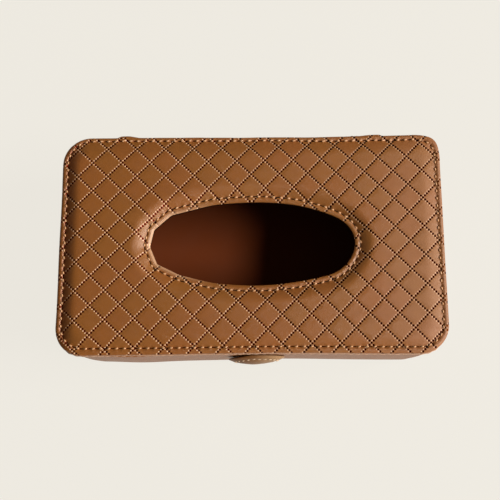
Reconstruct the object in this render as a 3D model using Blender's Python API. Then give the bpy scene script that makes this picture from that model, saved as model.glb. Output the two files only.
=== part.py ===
"""Car tissue holder: a sewn leather box with a quilted, padded top, an oval dispensing
opening, a base flap that opens for loading and a magnetic tongue that keeps it shut.

Frame: metres, +Z up, the front wall faces -Y. The origin is the middle of the underside of
the base. Every wall layer is placed by its inset, its distance inside the plan outline.
"""
import math
from dataclasses import dataclass, field

import bmesh
import bpy
from mathutils import Matrix, Vector
from mathutils.geometry import delaunay_2d_cdt

# Overall sizes of the box
WIDTH = 0.240
DEPTH = 0.139
HEIGHT = 0.070
CORNER_RADIUS = 0.018

# Sheets that the box is sewn from
LEATHER = 0.0012
WALL_BOARD = 0.0020
TOP_BOARD = 0.0020
BASE_BOARD = 0.0020
FOAM = 0.0020
LINING = 0.0008

# Fits between the pieces
CLEARANCE = 0.0003
FLAP_CLEARANCE = 0.0010
WALL_SET_BACK = 0.0005

# Padded top panel
EDGE_ROUNDING = 0.0030
EDGE_SEAM_INSET = 0.0034
SKIRT_HEIGHT = 0.0050
PADDING_RISE = 0.0018
SEAM_DEPTH = 0.0005
PADDING_RUN = 0.0110
FOLD_STEP = 0.0002

# Diamond quilting of the top: its diagonal, how far each diamond swells, how far from a seam
# its lines stop, and the steps in which that place is looked for
QUILT_DIAGONAL = 0.01818
QUILT_RELIEF = 0.0008
QUILT_LINE_STOP = 0.0010
QUILT_LINE_STEP = 0.0003

# Oval dispensing opening
OPENING_LENGTH = 0.129
OPENING_WIDTH = 0.0533
OPENING_EXPONENT = 2.2
OPENING_SEAM_OFFSET = 0.0035
LIP_ROUNDING = 0.0024

# Elastic straps on the rear wall
STRAP_WIDTH = 0.020
STRAP_THICKNESS = 0.0015
STRAP_END_DISTANCE = 0.046
STRAP_EDGE_ROUNDING = 0.0003

# Closure tongue with its domed round end
TONGUE_OFFSET = 0.0033
TONGUE_NECK_WIDTH = 0.022
TONGUE_THICKNESS = 0.0010
DOME_WIDTH = 0.0347
DOME_HEIGHT = 0.030
DOME_CENTRE_HEIGHT = 0.038
DOME_PROTRUSION = 0.0041
PATCH_POCKET_SHARE = 0.80

# Closure magnets
MAGNET_DIAMETER = 0.014
TONGUE_MAGNET_THICKNESS = 0.0012
WALL_MAGNET_THICKNESS = 0.0018

# Facets of the round stretches
CORNER_SEGMENTS = 6
OPENING_SEGMENTS = 44
ROUND_SEGMENTS = 28
MERGE_DISTANCE = 0.00001
SHARP_ANGLE = math.radians(32)

# Radial places on the dome, as shares of its radius: its rings from the rim to the middle,
# and how much of its full swell each one has. The second one is the crest of the raised ring.
DOME_RING_SHARES = (0.97, 0.90, 0.84, 0.78, 0.60, 0.36)
DOME_SWELL_SHARES = (0.25, 0.55, 0.47, 0.54, 0.80, 0.95)

# Places across a rolled edge, as shares of its rounding
ROLL_SHARES = (0.10, 0.35, 0.75)

# Places across the padding beside a seam, as shares of the run
PADDING_SHARES = (0.30,)

# Heights of the layers, from the base up
BASE_COVER_TOP = LEATHER
BASE_BOARD_BOTTOM = BASE_COVER_TOP + CLEARANCE
BASE_BOARD_TOP = BASE_BOARD_BOTTOM + BASE_BOARD
BASE_LINING_BOTTOM = BASE_BOARD_TOP + CLEARANCE
BASE_LINING_TOP = BASE_LINING_BOTTOM + LINING
WALL_BOTTOM = BASE_COVER_TOP + CLEARANCE
HEM_TOP = WALL_BOTTOM + LEATHER
WALL_LAYER_BOTTOM = HEM_TOP + CLEARANCE

# Heights of the layers, from the top down
SEAM_HEIGHT = HEIGHT - PADDING_RISE - SEAM_DEPTH
COVER_UNDERSIDE = SEAM_HEIGHT - LEATHER
FOAM_TOP = COVER_UNDERSIDE - CLEARANCE
FOAM_BOTTOM = FOAM_TOP - FOAM
TOP_BOARD_TOP = FOAM_BOTTOM - CLEARANCE
TOP_BOARD_BOTTOM = TOP_BOARD_TOP - TOP_BOARD
TOP_LINING_TOP = TOP_BOARD_BOTTOM - CLEARANCE
TOP_LINING_BOTTOM = TOP_LINING_TOP - LINING
WALL_LAYER_TOP = TOP_LINING_BOTTOM - CLEARANCE
SKIRT_BOTTOM = HEIGHT - SKIRT_HEIGHT
WALL_COVER_TOP = SKIRT_BOTTOM - CLEARANCE

# Insets of the layers, from the plan outline inwards
COVER_INNER = WALL_SET_BACK + LEATHER
BOARD_OUTER = COVER_INNER + CLEARANCE
BOARD_INNER = BOARD_OUTER + WALL_BOARD
LINING_OUTER = BOARD_INNER + CLEARANCE
LINING_INNER = LINING_OUTER + LINING
FLAP_INSET = LINING_INNER + FLAP_CLEARANCE
TOP_LAYER_INSET = max(COVER_INNER, LEATHER + FOLD_STEP) + CLEARANCE
OPENING_LAYER_OFFSET = LEATHER + FOLD_STEP + CLEARANCE

# Plan half sizes
HALF_WIDTH = WIDTH / 2
HALF_DEPTH = DEPTH / 2

# Joint axes, both along X
FLAP_AXIS = Vector((0, HALF_DEPTH - WALL_SET_BACK, LEATHER / 2))
TONGUE_BACK = HALF_DEPTH - WALL_SET_BACK + CLEARANCE
TONGUE_AXIS = Vector((TONGUE_OFFSET, -TONGUE_BACK - TONGUE_THICKNESS / 2, LEATHER / 2))

# Pockets in the back of the dome
PATCH_RECESS = LINING + CLEARANCE
MAGNET_RECESS = PATCH_RECESS + TONGUE_MAGNET_THICKNESS + CLEARANCE
MAGNET_RADIUS = MAGNET_DIAMETER / 2


@dataclass
class Region:
    """A flat region to fill with triangles: its outline, holes, guide loops, lines and points."""

    outline: list
    holes: list = field(default_factory=list)
    guides: list = field(default_factory=list)
    lines: list = field(default_factory=list)
    points: list = field(default_factory=list)


def clear_scene():
    """Remove what the file starts with."""
    for thing in list(bpy.data.objects):
        bpy.data.objects.remove(thing, do_unlink=True)


def make_material(name, colour, roughness, metallic=0.0):
    """A plain Principled material."""
    material = bpy.data.materials.new(name)
    material.use_nodes = True
    shader = material.node_tree.nodes["Principled BSDF"]
    shader.inputs["Base Color"].default_value = (*colour, 1.0)
    shader.inputs["Roughness"].default_value = roughness
    shader.inputs["Metallic"].default_value = metallic
    material.diffuse_color = (*colour, 1.0)
    return material


def make_empty(name, place):
    """An empty that marks a joint axis."""
    empty = bpy.data.objects.new(name, None)
    bpy.context.scene.collection.objects.link(empty)
    empty.location = place
    return empty


def attach(thing, parent, parent_place):
    """Parent a thing that is already in place to an empty at a known place."""
    thing.parent = parent
    thing.matrix_parent_inverse = Matrix.Translation(-parent_place)


def finish_object(name, mesh_builder, material):
    """Turn a closed bmesh into a named object with outward faces and one material."""
    bmesh.ops.recalc_face_normals(mesh_builder, faces=mesh_builder.faces)
    mesh = bpy.data.meshes.new(name)
    mesh_builder.to_mesh(mesh)
    mesh_builder.free()
    mesh.shade_smooth()
    mesh.set_sharp_from_angle(angle=SHARP_ANGLE)
    mesh.materials.append(material)
    result = bpy.data.objects.new(name, mesh)
    bpy.context.scene.collection.objects.link(result)
    return result


def arc(centre, radius, start, end, segments):
    """Points along an arc, both ends included."""
    angles = [start + (end - start) * step / segments for step in range(segments + 1)]
    return [Vector((centre[0] + radius * math.cos(a), centre[1] + radius * math.sin(a))) for a in angles]


def corner(side_x, side_y, inset):
    """One rounded corner of the plan outline, moved in by an inset, run anticlockwise."""
    radius = max(CORNER_RADIUS - inset, CLEARANCE)
    reach = max(CORNER_RADIUS, inset + CLEARANCE)
    centre = (side_x * (HALF_WIDTH - reach), side_y * (HALF_DEPTH - reach))
    quarter = math.pi / 2
    start = {(1, 1): 0, (-1, 1): 1, (-1, -1): 2, (1, -1): 3}[(side_x, side_y)] * quarter
    return arc(centre, radius, start, start + quarter, CORNER_SEGMENTS)


def plan_loop(inset):
    """The plan outline, moved in by an inset."""
    return corner(1, 1, inset) + corner(-1, 1, inset) + corner(-1, -1, inset) + corner(1, -1, inset)


def edge_distance(point):
    """How far a point lies inside the plan outline."""
    over_x = abs(point[0]) - (HALF_WIDTH - CORNER_RADIUS)
    over_y = abs(point[1]) - (HALF_DEPTH - CORNER_RADIUS)
    outside = math.hypot(max(over_x, 0), max(over_y, 0))
    return CORNER_RADIUS - outside - min(max(over_x, over_y), 0)


def opening_loop(offset):
    """The superellipse of the opening, moved out by an offset."""
    half_length = OPENING_LENGTH / 2
    half_width = OPENING_WIDTH / 2
    power = 2 / OPENING_EXPONENT
    loop = []
    for step in range(OPENING_SEGMENTS):
        angle = 2 * math.pi * (step + 0.5) / OPENING_SEGMENTS
        cosine = math.cos(angle)
        sine = math.sin(angle)
        x = half_length * math.copysign(abs(cosine) ** power, cosine)
        y = half_width * math.copysign(abs(sine) ** power, sine)
        slope_x = math.copysign(abs(x / half_length) ** (OPENING_EXPONENT - 1), x) / half_length
        slope_y = math.copysign(abs(y / half_width) ** (OPENING_EXPONENT - 1), y) / half_width
        steepness = math.hypot(slope_x, slope_y)
        loop.append(Vector((x + offset * slope_x / steepness, y + offset * slope_y / steepness)))
    return loop


OPENING_EDGE = opening_loop(0)


def opening_distance(point):
    """How far a point lies outside the opening."""
    nearest = math.inf
    for start, end in zip(OPENING_EDGE, OPENING_EDGE[1:] + OPENING_EDGE[:1]):
        along = end - start
        share = (point - start).dot(along) / along.length_squared
        foot = start + along * min(max(share, 0), 1)
        nearest = min(nearest, (point - foot).length)
    return nearest


def ellipse_loop(centre, half_width, half_height, segments):
    """A closed ellipse."""
    loop = []
    for step in range(segments):
        angle = 2 * math.pi * step / segments
        loop.append(Vector((centre[0] + half_width * math.cos(angle), centre[1] + half_height * math.sin(angle))))
    return loop


def encloses(loop, point):
    """Whether a closed loop encloses a point."""
    crossings = 0
    for start, end in zip(loop, loop[1:] + loop[:1]):
        if (start[1] > point[1]) != (end[1] > point[1]):
            share = (point[1] - start[1]) / (end[1] - start[1])
            if start[0] + share * (end[0] - start[0]) > point[0]:
                crossings += 1
    return crossings % 2 == 1


def triangulate(region):
    """Fill a region with triangles that keep its loops, lines and points."""
    places = []
    edges = []
    for loop in [region.outline, *region.holes, *region.guides]:
        first = len(places)
        places.extend(loop)
        edges.extend((first + step, first + (step + 1) % len(loop)) for step in range(len(loop)))
    for start, end in region.lines:
        edges.append((len(places), len(places) + 1))
        places.extend((start, end))
    places.extend(region.points)
    found = delaunay_2d_cdt(places, edges, [], 0, MERGE_DISTANCE)
    corners = found[0]
    triangles = []
    for triangle in found[2]:
        middle = sum((corners[index] for index in triangle), Vector((0, 0))) / len(triangle)
        if encloses(region.outline, middle) and not any(encloses(hole, middle) for hole in region.holes):
            triangles.append(triangle)
    return corners, triangles


def skin(builder, region, height, lay):
    """Lay one triangulated skin at its heights, and return its vertices by plan place."""
    corners, triangles = triangulate(region)
    placed = {}
    for triangle in triangles:
        for index in triangle:
            if index not in placed:
                placed[index] = builder.verts.new(lay(corners[index], height(corners[index])))
        builder.faces.new([placed[index] for index in triangle])
    return {plan_key(corners[index]): vertex for index, vertex in placed.items()}


def plan_key(point):
    """A plan place, rounded to the merge distance."""
    return (round(point[0] / MERGE_DISTANCE), round(point[1] / MERGE_DISTANCE))


def solid_between(name, upper, upper_height, lower, lower_height, lay, material):
    """A closed solid between two skins that share their outline and holes."""
    builder = bmesh.new()
    top = skin(builder, upper, upper_height, lay)
    bottom = skin(builder, lower, lower_height, lay)
    for loop in [upper.outline, *upper.holes]:
        for start, end in zip(loop, loop[1:] + loop[:1]):
            ends = (plan_key(start), plan_key(end))
            builder.faces.new((top[ends[0]], top[ends[1]], bottom[ends[1]], bottom[ends[0]]))
    return finish_object(name, builder, material)


def flat_sheet(name, region, low, high, lay, material):
    """A flat sheet of even thickness."""
    return solid_between(name, region, lambda point: high, region, lambda point: low, lay, material)


def lay_level(point, height):
    """Plan place and height to a point of a level sheet."""
    return (point[0], point[1], height)


def strip(name, section, path, material):
    """A strip with a closed section of (inset, height) corners, run along an open path."""
    builder = bmesh.new()
    runs = [path(inset) for inset, height in section]
    rows = []
    for step in range(len(runs[0])):
        row = [builder.verts.new((*run[step], height)) for run, (inset, height) in zip(runs, section)]
        rows.append(row)
    count = len(section)
    for row, following in zip(rows, rows[1:]):
        for index in range(count):
            after = (index + 1) % count
            builder.faces.new((row[index], row[after], following[after], following[index]))
    for row in (rows[0], rows[-1]):
        cap = builder.faces.new(row)
        bmesh.ops.triangulate(builder, faces=[cap])
    return finish_object(name, builder, material)


def front_path(inset):
    """The front wall with both of its rounded corners."""
    return corner(-1, -1, inset) + corner(1, -1, inset)


def rear_path(inset):
    """The rear wall with both of its rounded corners."""
    return corner(1, 1, inset) + corner(-1, 1, inset)


def end_path(side):
    """The straight stretch of an end wall, a seam's gap short of both corner pieces."""
    reach = HALF_DEPTH - CORNER_RADIUS - CLEARANCE

    def path(inset):
        x = side * (HALF_WIDTH - inset)
        return [Vector((x, -reach)), Vector((x, reach))]

    return path


def rolled_edge(distance, rounding, seam):
    """Height of the rolled leather between an edge and its seam."""
    crest = HEIGHT - PADDING_RISE
    if distance < rounding:
        rise = rounding - distance
        return crest - rounding + math.sqrt(max(rounding * rounding - rise * rise, 0))
    return crest


def padded_height(distance, rounding, seam):
    """Height of the padded top at a distance from an edge: rolled edge, seam groove, crown."""
    if distance < seam:
        edge = rolled_edge(distance, rounding, seam)
        dip = max(1 - (seam - distance) / (seam - rounding / 2), 0)
        return edge - SEAM_DEPTH * dip * dip
    share = min((distance - seam) / PADDING_RUN, 1)
    swell = 1 - (1 - share) ** 3
    return SEAM_HEIGHT + (PADDING_RISE + SEAM_DEPTH - QUILT_RELIEF) * swell


def quilt_swell(point):
    """How far into its diamond a point lies: 0 on a quilting line, 1 in the middle."""
    rising = (point[0] + point[1]) / QUILT_DIAGONAL
    falling = (point[0] - point[1]) / QUILT_DIAGONAL
    off_middle = max(abs(rising - round(rising)), abs(falling - round(falling)))
    return 1 - 2 * off_middle


def inside_seams(point, margin):
    """Whether a point of the top lies between the two seams by a margin."""
    if encloses(OPENING_EDGE, point):
        return False
    beyond_edge = edge_distance(point) > EDGE_SEAM_INSET + margin
    return beyond_edge and opening_distance(point) > OPENING_SEAM_OFFSET + margin


def top_height(point):
    """Height of the quilted top."""
    edge = edge_distance(point)
    lip = opening_distance(point)
    height = min(
        padded_height(edge, EDGE_ROUNDING, EDGE_SEAM_INSET),
        padded_height(lip, LIP_ROUNDING, OPENING_SEAM_OFFSET),
    )
    if inside_seams(point, 0):
        fade = min((edge - EDGE_SEAM_INSET) / PADDING_RUN, (lip - OPENING_SEAM_OFFSET) / PADDING_RUN, 1)
        height += QUILT_RELIEF * quilt_swell(point) * fade
    return height


def quilt_lines():
    """Every quilting line, cut where it nears a seam."""
    lines = []
    count = math.ceil((WIDTH + DEPTH) / QUILT_DIAGONAL)
    reach = (WIDTH + DEPTH) / 2
    steps = math.ceil(2 * reach / QUILT_LINE_STEP)
    for way in (1, -1):
        for number in range(-count, count):
            shift = (number + 0.5) * QUILT_DIAGONAL
            start = None
            last = None
            for step in range(steps + 1):
                x = -reach + 2 * reach * step / steps
                point = Vector((x, way * (shift - x)))
                if abs(point[1]) < HALF_DEPTH and inside_seams(point, QUILT_LINE_STOP):
                    start = start or point
                    last = point
                elif start is not None:
                    lines.append((start, last))
                    start = None
    return [line for line in lines if (line[1] - line[0]).length > QUILT_LINE_STOP]


def quilt_middles():
    """The middle of every diamond that lies between the seams."""
    middles = []
    across = math.ceil(WIDTH / QUILT_DIAGONAL)
    deep = math.ceil(DEPTH / QUILT_DIAGONAL)
    half = QUILT_DIAGONAL / 2
    for column in range(-across, across + 1):
        for row in range(-deep, deep + 1):
            if (column + row) % 2 == 0:
                point = Vector((column * half, row * half))
                if inside_seams(point, QUILT_LINE_STOP):
                    middles.append(point)
    return middles


def top_underside(point):
    """Underside of the top cover: flat, with a skirt turned down at both of its edges."""
    if edge_distance(point) < LEATHER + FOLD_STEP / 2:
        return SKIRT_BOTTOM
    if opening_distance(point) < LEATHER + FOLD_STEP / 2:
        return TOP_LINING_BOTTOM
    return COVER_UNDERSIDE


def make_top_cover(leather):
    """The quilted leather of the top, padded between its seams and turned in at its edges."""
    edge_places = [share * EDGE_ROUNDING for share in ROLL_SHARES] + [EDGE_SEAM_INSET]
    edge_places += [EDGE_SEAM_INSET + share * PADDING_RUN for share in PADDING_SHARES]
    lip_places = [share * LIP_ROUNDING for share in ROLL_SHARES] + [OPENING_SEAM_OFFSET]
    lip_places += [OPENING_SEAM_OFFSET + share * PADDING_RUN for share in PADDING_SHARES]
    upper = Region(
        outline=plan_loop(0),
        holes=[OPENING_EDGE],
        guides=[plan_loop(place) for place in edge_places] + [opening_loop(place) for place in lip_places],
        lines=quilt_lines(),
        points=quilt_middles(),
    )
    folds = (LEATHER, LEATHER + FOLD_STEP)
    lower = Region(
        outline=plan_loop(0),
        holes=[OPENING_EDGE],
        guides=[plan_loop(place) for place in folds] + [opening_loop(place) for place in folds],
    )
    return solid_between("top_cover", upper, top_height, lower, top_underside, lay_level, leather)


def make_top_layer(name, low, high, material):
    """A flat layer under the top cover, with the opening cut through it."""
    region = Region(outline=plan_loop(TOP_LAYER_INSET), holes=[opening_loop(OPENING_LAYER_OFFSET)])
    return flat_sheet(name, region, low, high, lay_level, material)


def make_wall_covers(leather):
    """The leather of the four walls, each with its lower edge turned in as a hem."""
    section = [
        (WALL_SET_BACK, WALL_COVER_TOP),
        (WALL_SET_BACK, WALL_BOTTOM),
        (LINING_INNER, WALL_BOTTOM),
        (LINING_INNER, HEM_TOP),
        (COVER_INNER, HEM_TOP),
        (COVER_INNER, WALL_COVER_TOP),
    ]
    strip("front_wall_cover", section, front_path, leather)
    strip("rear_wall_cover", section, rear_path, leather)
    strip("left_end_cover", section, end_path(-1), leather)
    strip("right_end_cover", section, end_path(1), leather)


def layer_section(outer, inner):
    """Section of a plain layer of the walls."""
    return [
        (outer, WALL_LAYER_TOP),
        (outer, WALL_LAYER_BOTTOM),
        (inner, WALL_LAYER_BOTTOM),
        (inner, WALL_LAYER_TOP),
    ]


def make_wall_linings(lining):
    """The lining of the four walls."""
    section = layer_section(LINING_OUTER, LINING_INNER)
    strip("front_lining", section, front_path, lining)
    strip("rear_lining", section, rear_path, lining)
    strip("left_end_lining", section, end_path(-1), lining)
    strip("right_end_lining", section, end_path(1), lining)


def make_wall_boards(board):
    """The stiffening boards: the front one has a round window for its magnet."""
    section = layer_section(BOARD_OUTER, BOARD_INNER)
    reach = HALF_WIDTH - CORNER_RADIUS
    strip("left_end_board", section, end_path(-1), board)
    strip("right_end_board", section, end_path(1), board)
    strip(
        "rear_board",
        section,
        lambda inset: [Vector((-reach, HALF_DEPTH - inset)), Vector((reach, HALF_DEPTH - inset))],
        board,
    )
    window = ellipse_loop(
        (TONGUE_OFFSET, DOME_CENTRE_HEIGHT),
        MAGNET_RADIUS + CLEARANCE,
        MAGNET_RADIUS + CLEARANCE,
        ROUND_SEGMENTS,
    )
    outline = [
        Vector((-reach, WALL_LAYER_BOTTOM)),
        Vector((reach, WALL_LAYER_BOTTOM)),
        Vector((reach, WALL_LAYER_TOP)),
        Vector((-reach, WALL_LAYER_TOP)),
    ]
    flat_sheet(
        "front_board",
        Region(outline=outline, holes=[window]),
        HALF_DEPTH - BOARD_INNER,
        HALF_DEPTH - BOARD_OUTER,
        lay_front,
        board,
    )


def lay_front(point, reach):
    """Place across the front wall and distance forwards to a point."""
    return (point[0], -reach, point[1])


def make_magnet(name, back, thickness, steel):
    """A disc magnet that faces the front wall, from a distance forwards."""
    disc = Region(
        outline=ellipse_loop((TONGUE_OFFSET, DOME_CENTRE_HEIGHT), MAGNET_RADIUS, MAGNET_RADIUS, ROUND_SEGMENTS),
    )
    return flat_sheet(name, disc, back, back + thickness, lay_front, steel)


def make_strap(name, side, elastic):
    """A flat elastic strap down the rear wall, its middle a set distance from the end wall."""
    centre = side * (HALF_WIDTH - STRAP_END_DISTANCE)
    half = STRAP_WIDTH / 2
    front = HALF_DEPTH - WALL_SET_BACK + CLEARANCE
    back = front + STRAP_THICKNESS
    profile = [
        (centre - half, front + STRAP_EDGE_ROUNDING),
        (centre - half + STRAP_EDGE_ROUNDING, front),
        (centre + half - STRAP_EDGE_ROUNDING, front),
        (centre + half, front + STRAP_EDGE_ROUNDING),
        (centre + half, back - STRAP_EDGE_ROUNDING),
        (centre + half - STRAP_EDGE_ROUNDING, back),
        (centre - half + STRAP_EDGE_ROUNDING, back),
        (centre - half, back - STRAP_EDGE_ROUNDING),
    ]
    region = Region(outline=[Vector(corner_place) for corner_place in profile])
    low = WALL_BOTTOM + CLEARANCE
    return flat_sheet(name, region, low, WALL_COVER_TOP, lay_level, elastic)


def make_base(leather, board, lining):
    """The base flap: a leather sheet under the walls, with a board and a lining between them."""
    cover = Region(outline=plan_loop(WALL_SET_BACK))
    inner = Region(outline=plan_loop(FLAP_INSET))
    return [
        flat_sheet("base_cover", cover, 0, BASE_COVER_TOP, lay_level, leather),
        flat_sheet("base_board", inner, BASE_BOARD_BOTTOM, BASE_BOARD_TOP, lay_level, board),
        flat_sheet("base_lining", inner, BASE_LINING_BOTTOM, BASE_LINING_TOP, lay_level, lining),
    ]


def dome_radius_share(point):
    """How far out on the dome a point lies: 0 in the middle, 1 on the rim."""
    across = (point[0] - TONGUE_OFFSET) / (DOME_WIDTH / 2)
    up = (point[1] - DOME_CENTRE_HEIGHT) / (DOME_HEIGHT / 2)
    return math.hypot(across, up)


def dome_loop(share):
    """A ring of the dome."""
    centre = (TONGUE_OFFSET, DOME_CENTRE_HEIGHT)
    return ellipse_loop(centre, share * DOME_WIDTH / 2, share * DOME_HEIGHT / 2, ROUND_SEGMENTS)


def tongue_outline():
    """The neck of the tongue and its round end, as one outline."""
    half_neck = TONGUE_NECK_WIDTH / 2
    spread = math.acos(half_neck / (DOME_WIDTH / 2))
    start = -spread
    end = math.pi + spread
    outline = [
        Vector((TONGUE_OFFSET - half_neck, TONGUE_AXIS.z)),
        Vector((TONGUE_OFFSET + half_neck, TONGUE_AXIS.z)),
    ]
    for step in range(ROUND_SEGMENTS + 1):
        angle = start + (end - start) * step / ROUND_SEGMENTS
        x = TONGUE_OFFSET + DOME_WIDTH / 2 * math.cos(angle)
        z = DOME_CENTRE_HEIGHT + DOME_HEIGHT / 2 * math.sin(angle)
        outline.append(Vector((x, z)))
    return outline


def dome_swell(share):
    """Share of the dome's full swell at a radial place, read along the named rings."""
    places = (1,) + DOME_RING_SHARES + (0,)
    swells = (0,) + DOME_SWELL_SHARES + (1,)
    for outer, inner, low, high in zip(places, places[1:], swells, swells[1:]):
        if share >= inner:
            return low + (high - low) * (outer - share) / (outer - inner)
    return 1


def tongue_front(point):
    """How far forward the face of the tongue stands."""
    share = dome_radius_share(point)
    reach = TONGUE_BACK + TONGUE_THICKNESS
    if share < 1:
        reach += (DOME_PROTRUSION - TONGUE_THICKNESS) * dome_swell(share)
    return reach


def tongue_back(point):
    """The back of the tongue, with the pockets for the patch and the magnet."""
    from_middle = math.hypot(point[0] - TONGUE_OFFSET, point[1] - DOME_CENTRE_HEIGHT)
    if from_middle < MAGNET_RADIUS + CLEARANCE + FOLD_STEP / 2:
        return TONGUE_BACK + MAGNET_RECESS
    if dome_radius_share(point) < PATCH_POCKET_SHARE + FOLD_STEP / DOME_WIDTH:
        return TONGUE_BACK + PATCH_RECESS
    return TONGUE_BACK


def make_tongue(leather, lining, steel):
    """The closure tongue: domed leather, the magnet in it and the patch that shuts its pocket."""
    centre = (TONGUE_OFFSET, DOME_CENTRE_HEIGHT)
    upper = Region(
        outline=tongue_outline(),
        guides=[dome_loop(share) for share in DOME_RING_SHARES],
        points=[Vector(centre)],
    )
    pocket = PATCH_POCKET_SHARE
    pocket_outside = pocket + 2 * FOLD_STEP / DOME_WIDTH
    seat = MAGNET_RADIUS + CLEARANCE
    lower = Region(
        outline=tongue_outline(),
        guides=[
            dome_loop(pocket),
            dome_loop(pocket_outside),
            ellipse_loop(centre, seat, seat, ROUND_SEGMENTS),
            ellipse_loop(centre, seat + FOLD_STEP, seat + FOLD_STEP, ROUND_SEGMENTS),
        ],
    )
    half_patch = Vector((DOME_WIDTH, DOME_HEIGHT)) * pocket / 2
    patch = Region(
        outline=ellipse_loop(centre, half_patch.x - CLEARANCE, half_patch.y - CLEARANCE, ROUND_SEGMENTS),
    )
    return [
        solid_between("tongue_leather", upper, tongue_front, lower, tongue_back, lay_front, leather),
        flat_sheet("magnet_patch", patch, TONGUE_BACK, TONGUE_BACK + LINING, lay_front, lining),
        make_magnet("tongue_magnet", TONGUE_BACK + PATCH_RECESS, TONGUE_MAGNET_THICKNESS, steel),
    ]


def main():
    """Build every piece and hang the moving ones on their axes."""
    clear_scene()
    leather = make_material("tan_leather", (0.305, 0.100, 0.018), 0.45)
    lining = make_material("brown_lining", (0.165, 0.040, 0.011), 0.85)
    board = make_material("grey_board", (0.30, 0.28, 0.25), 0.85)
    foam = make_material("cream_foam", (0.72, 0.66, 0.50), 0.90)
    elastic = make_material("brown_elastic", (0.080, 0.036, 0.018), 0.80)
    steel = make_material("magnet_steel", (0.55, 0.55, 0.56), 0.35, 1.0)

    make_top_cover(leather)
    make_top_layer("top_foam", FOAM_BOTTOM, FOAM_TOP, foam)
    make_top_layer("top_board", TOP_BOARD_BOTTOM, TOP_BOARD_TOP, board)
    make_top_layer("top_lining", TOP_LINING_BOTTOM, TOP_LINING_TOP, lining)
    make_wall_covers(leather)
    make_wall_boards(board)
    make_wall_linings(lining)
    make_magnet("wall_magnet", HALF_DEPTH - BOARD_OUTER - WALL_MAGNET_THICKNESS, WALL_MAGNET_THICKNESS, steel)
    make_strap("left_strap", -1, elastic)
    make_strap("right_strap", 1, elastic)

    flap_hinge = make_empty("base_flap_hinge", FLAP_AXIS)
    for piece in make_base(leather, board, lining):
        attach(piece, flap_hinge, FLAP_AXIS)
    tongue_hinge = make_empty("tongue_hinge", TONGUE_AXIS)
    attach(tongue_hinge, flap_hinge, FLAP_AXIS)
    for piece in make_tongue(leather, lining, steel):
        attach(piece, tongue_hinge, TONGUE_AXIS)


main()
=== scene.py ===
"""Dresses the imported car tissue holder: quilted top, sewn walls, lining, straps and closure tongue."""

import logging
import math
from collections.abc import Sequence
from dataclasses import dataclass
from enum import Enum
from functools import partial, reduce

import bmesh
import bpy
import numpy as np
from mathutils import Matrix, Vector
from mathutils.geometry import delaunay_2d_cdt
from numpy.polynomial.polynomial import polyval2d


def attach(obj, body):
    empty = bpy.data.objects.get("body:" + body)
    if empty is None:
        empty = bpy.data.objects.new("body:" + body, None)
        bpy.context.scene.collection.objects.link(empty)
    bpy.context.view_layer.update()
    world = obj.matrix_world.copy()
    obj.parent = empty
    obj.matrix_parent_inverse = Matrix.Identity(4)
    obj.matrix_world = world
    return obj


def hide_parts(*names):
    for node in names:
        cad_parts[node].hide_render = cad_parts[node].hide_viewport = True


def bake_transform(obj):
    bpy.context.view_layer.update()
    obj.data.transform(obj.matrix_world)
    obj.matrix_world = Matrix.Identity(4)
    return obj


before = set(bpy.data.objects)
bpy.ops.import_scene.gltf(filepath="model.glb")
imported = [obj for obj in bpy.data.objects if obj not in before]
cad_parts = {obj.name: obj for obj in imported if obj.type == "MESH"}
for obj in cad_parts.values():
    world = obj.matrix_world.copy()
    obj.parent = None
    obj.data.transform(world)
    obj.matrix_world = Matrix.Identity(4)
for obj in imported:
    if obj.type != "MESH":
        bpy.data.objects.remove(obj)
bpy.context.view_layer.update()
LOG = logging.getLogger("tissue_holder")

Array = np.ndarray
Pair = tuple[float, float]
Steps = tuple[float, float, int]
Numbers = tuple[float, ...]
Piece = bpy.types.Object
Material = bpy.types.Material
Tree = bpy.types.NodeTree
Node = bpy.types.Node
Socket = bpy.types.NodeSocket
Source = Socket | float | int | str | Numbers
Triple = tuple[float, float, float]
Colour = Triple
Place = Triple
Change = tuple[float, float, float, float]
Section = Sequence[Pair]
Slacks = tuple[tuple[float, float, int, float], ...]
Grid = tuple[Numbers, ...]


class Body(Enum):
    """The rigid bodies that pieces ride on."""

    HOLDER = "holder"
    FLAP = "base_flap"
    TONGUE = "closure_tongue"


class Slot(Enum):
    """Names of material slots, which this script does not use."""

    LEATHER = "leather"
    LINING = "lining"
    FOAM = "foam"
    ELASTIC = "elastic"


class Lay(Enum):
    """Which two coordinates a sheet is spread over before it is filled with triangles."""

    LEVEL = (0, 1)
    UPRIGHT = (0, 2)


# Node trees


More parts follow.
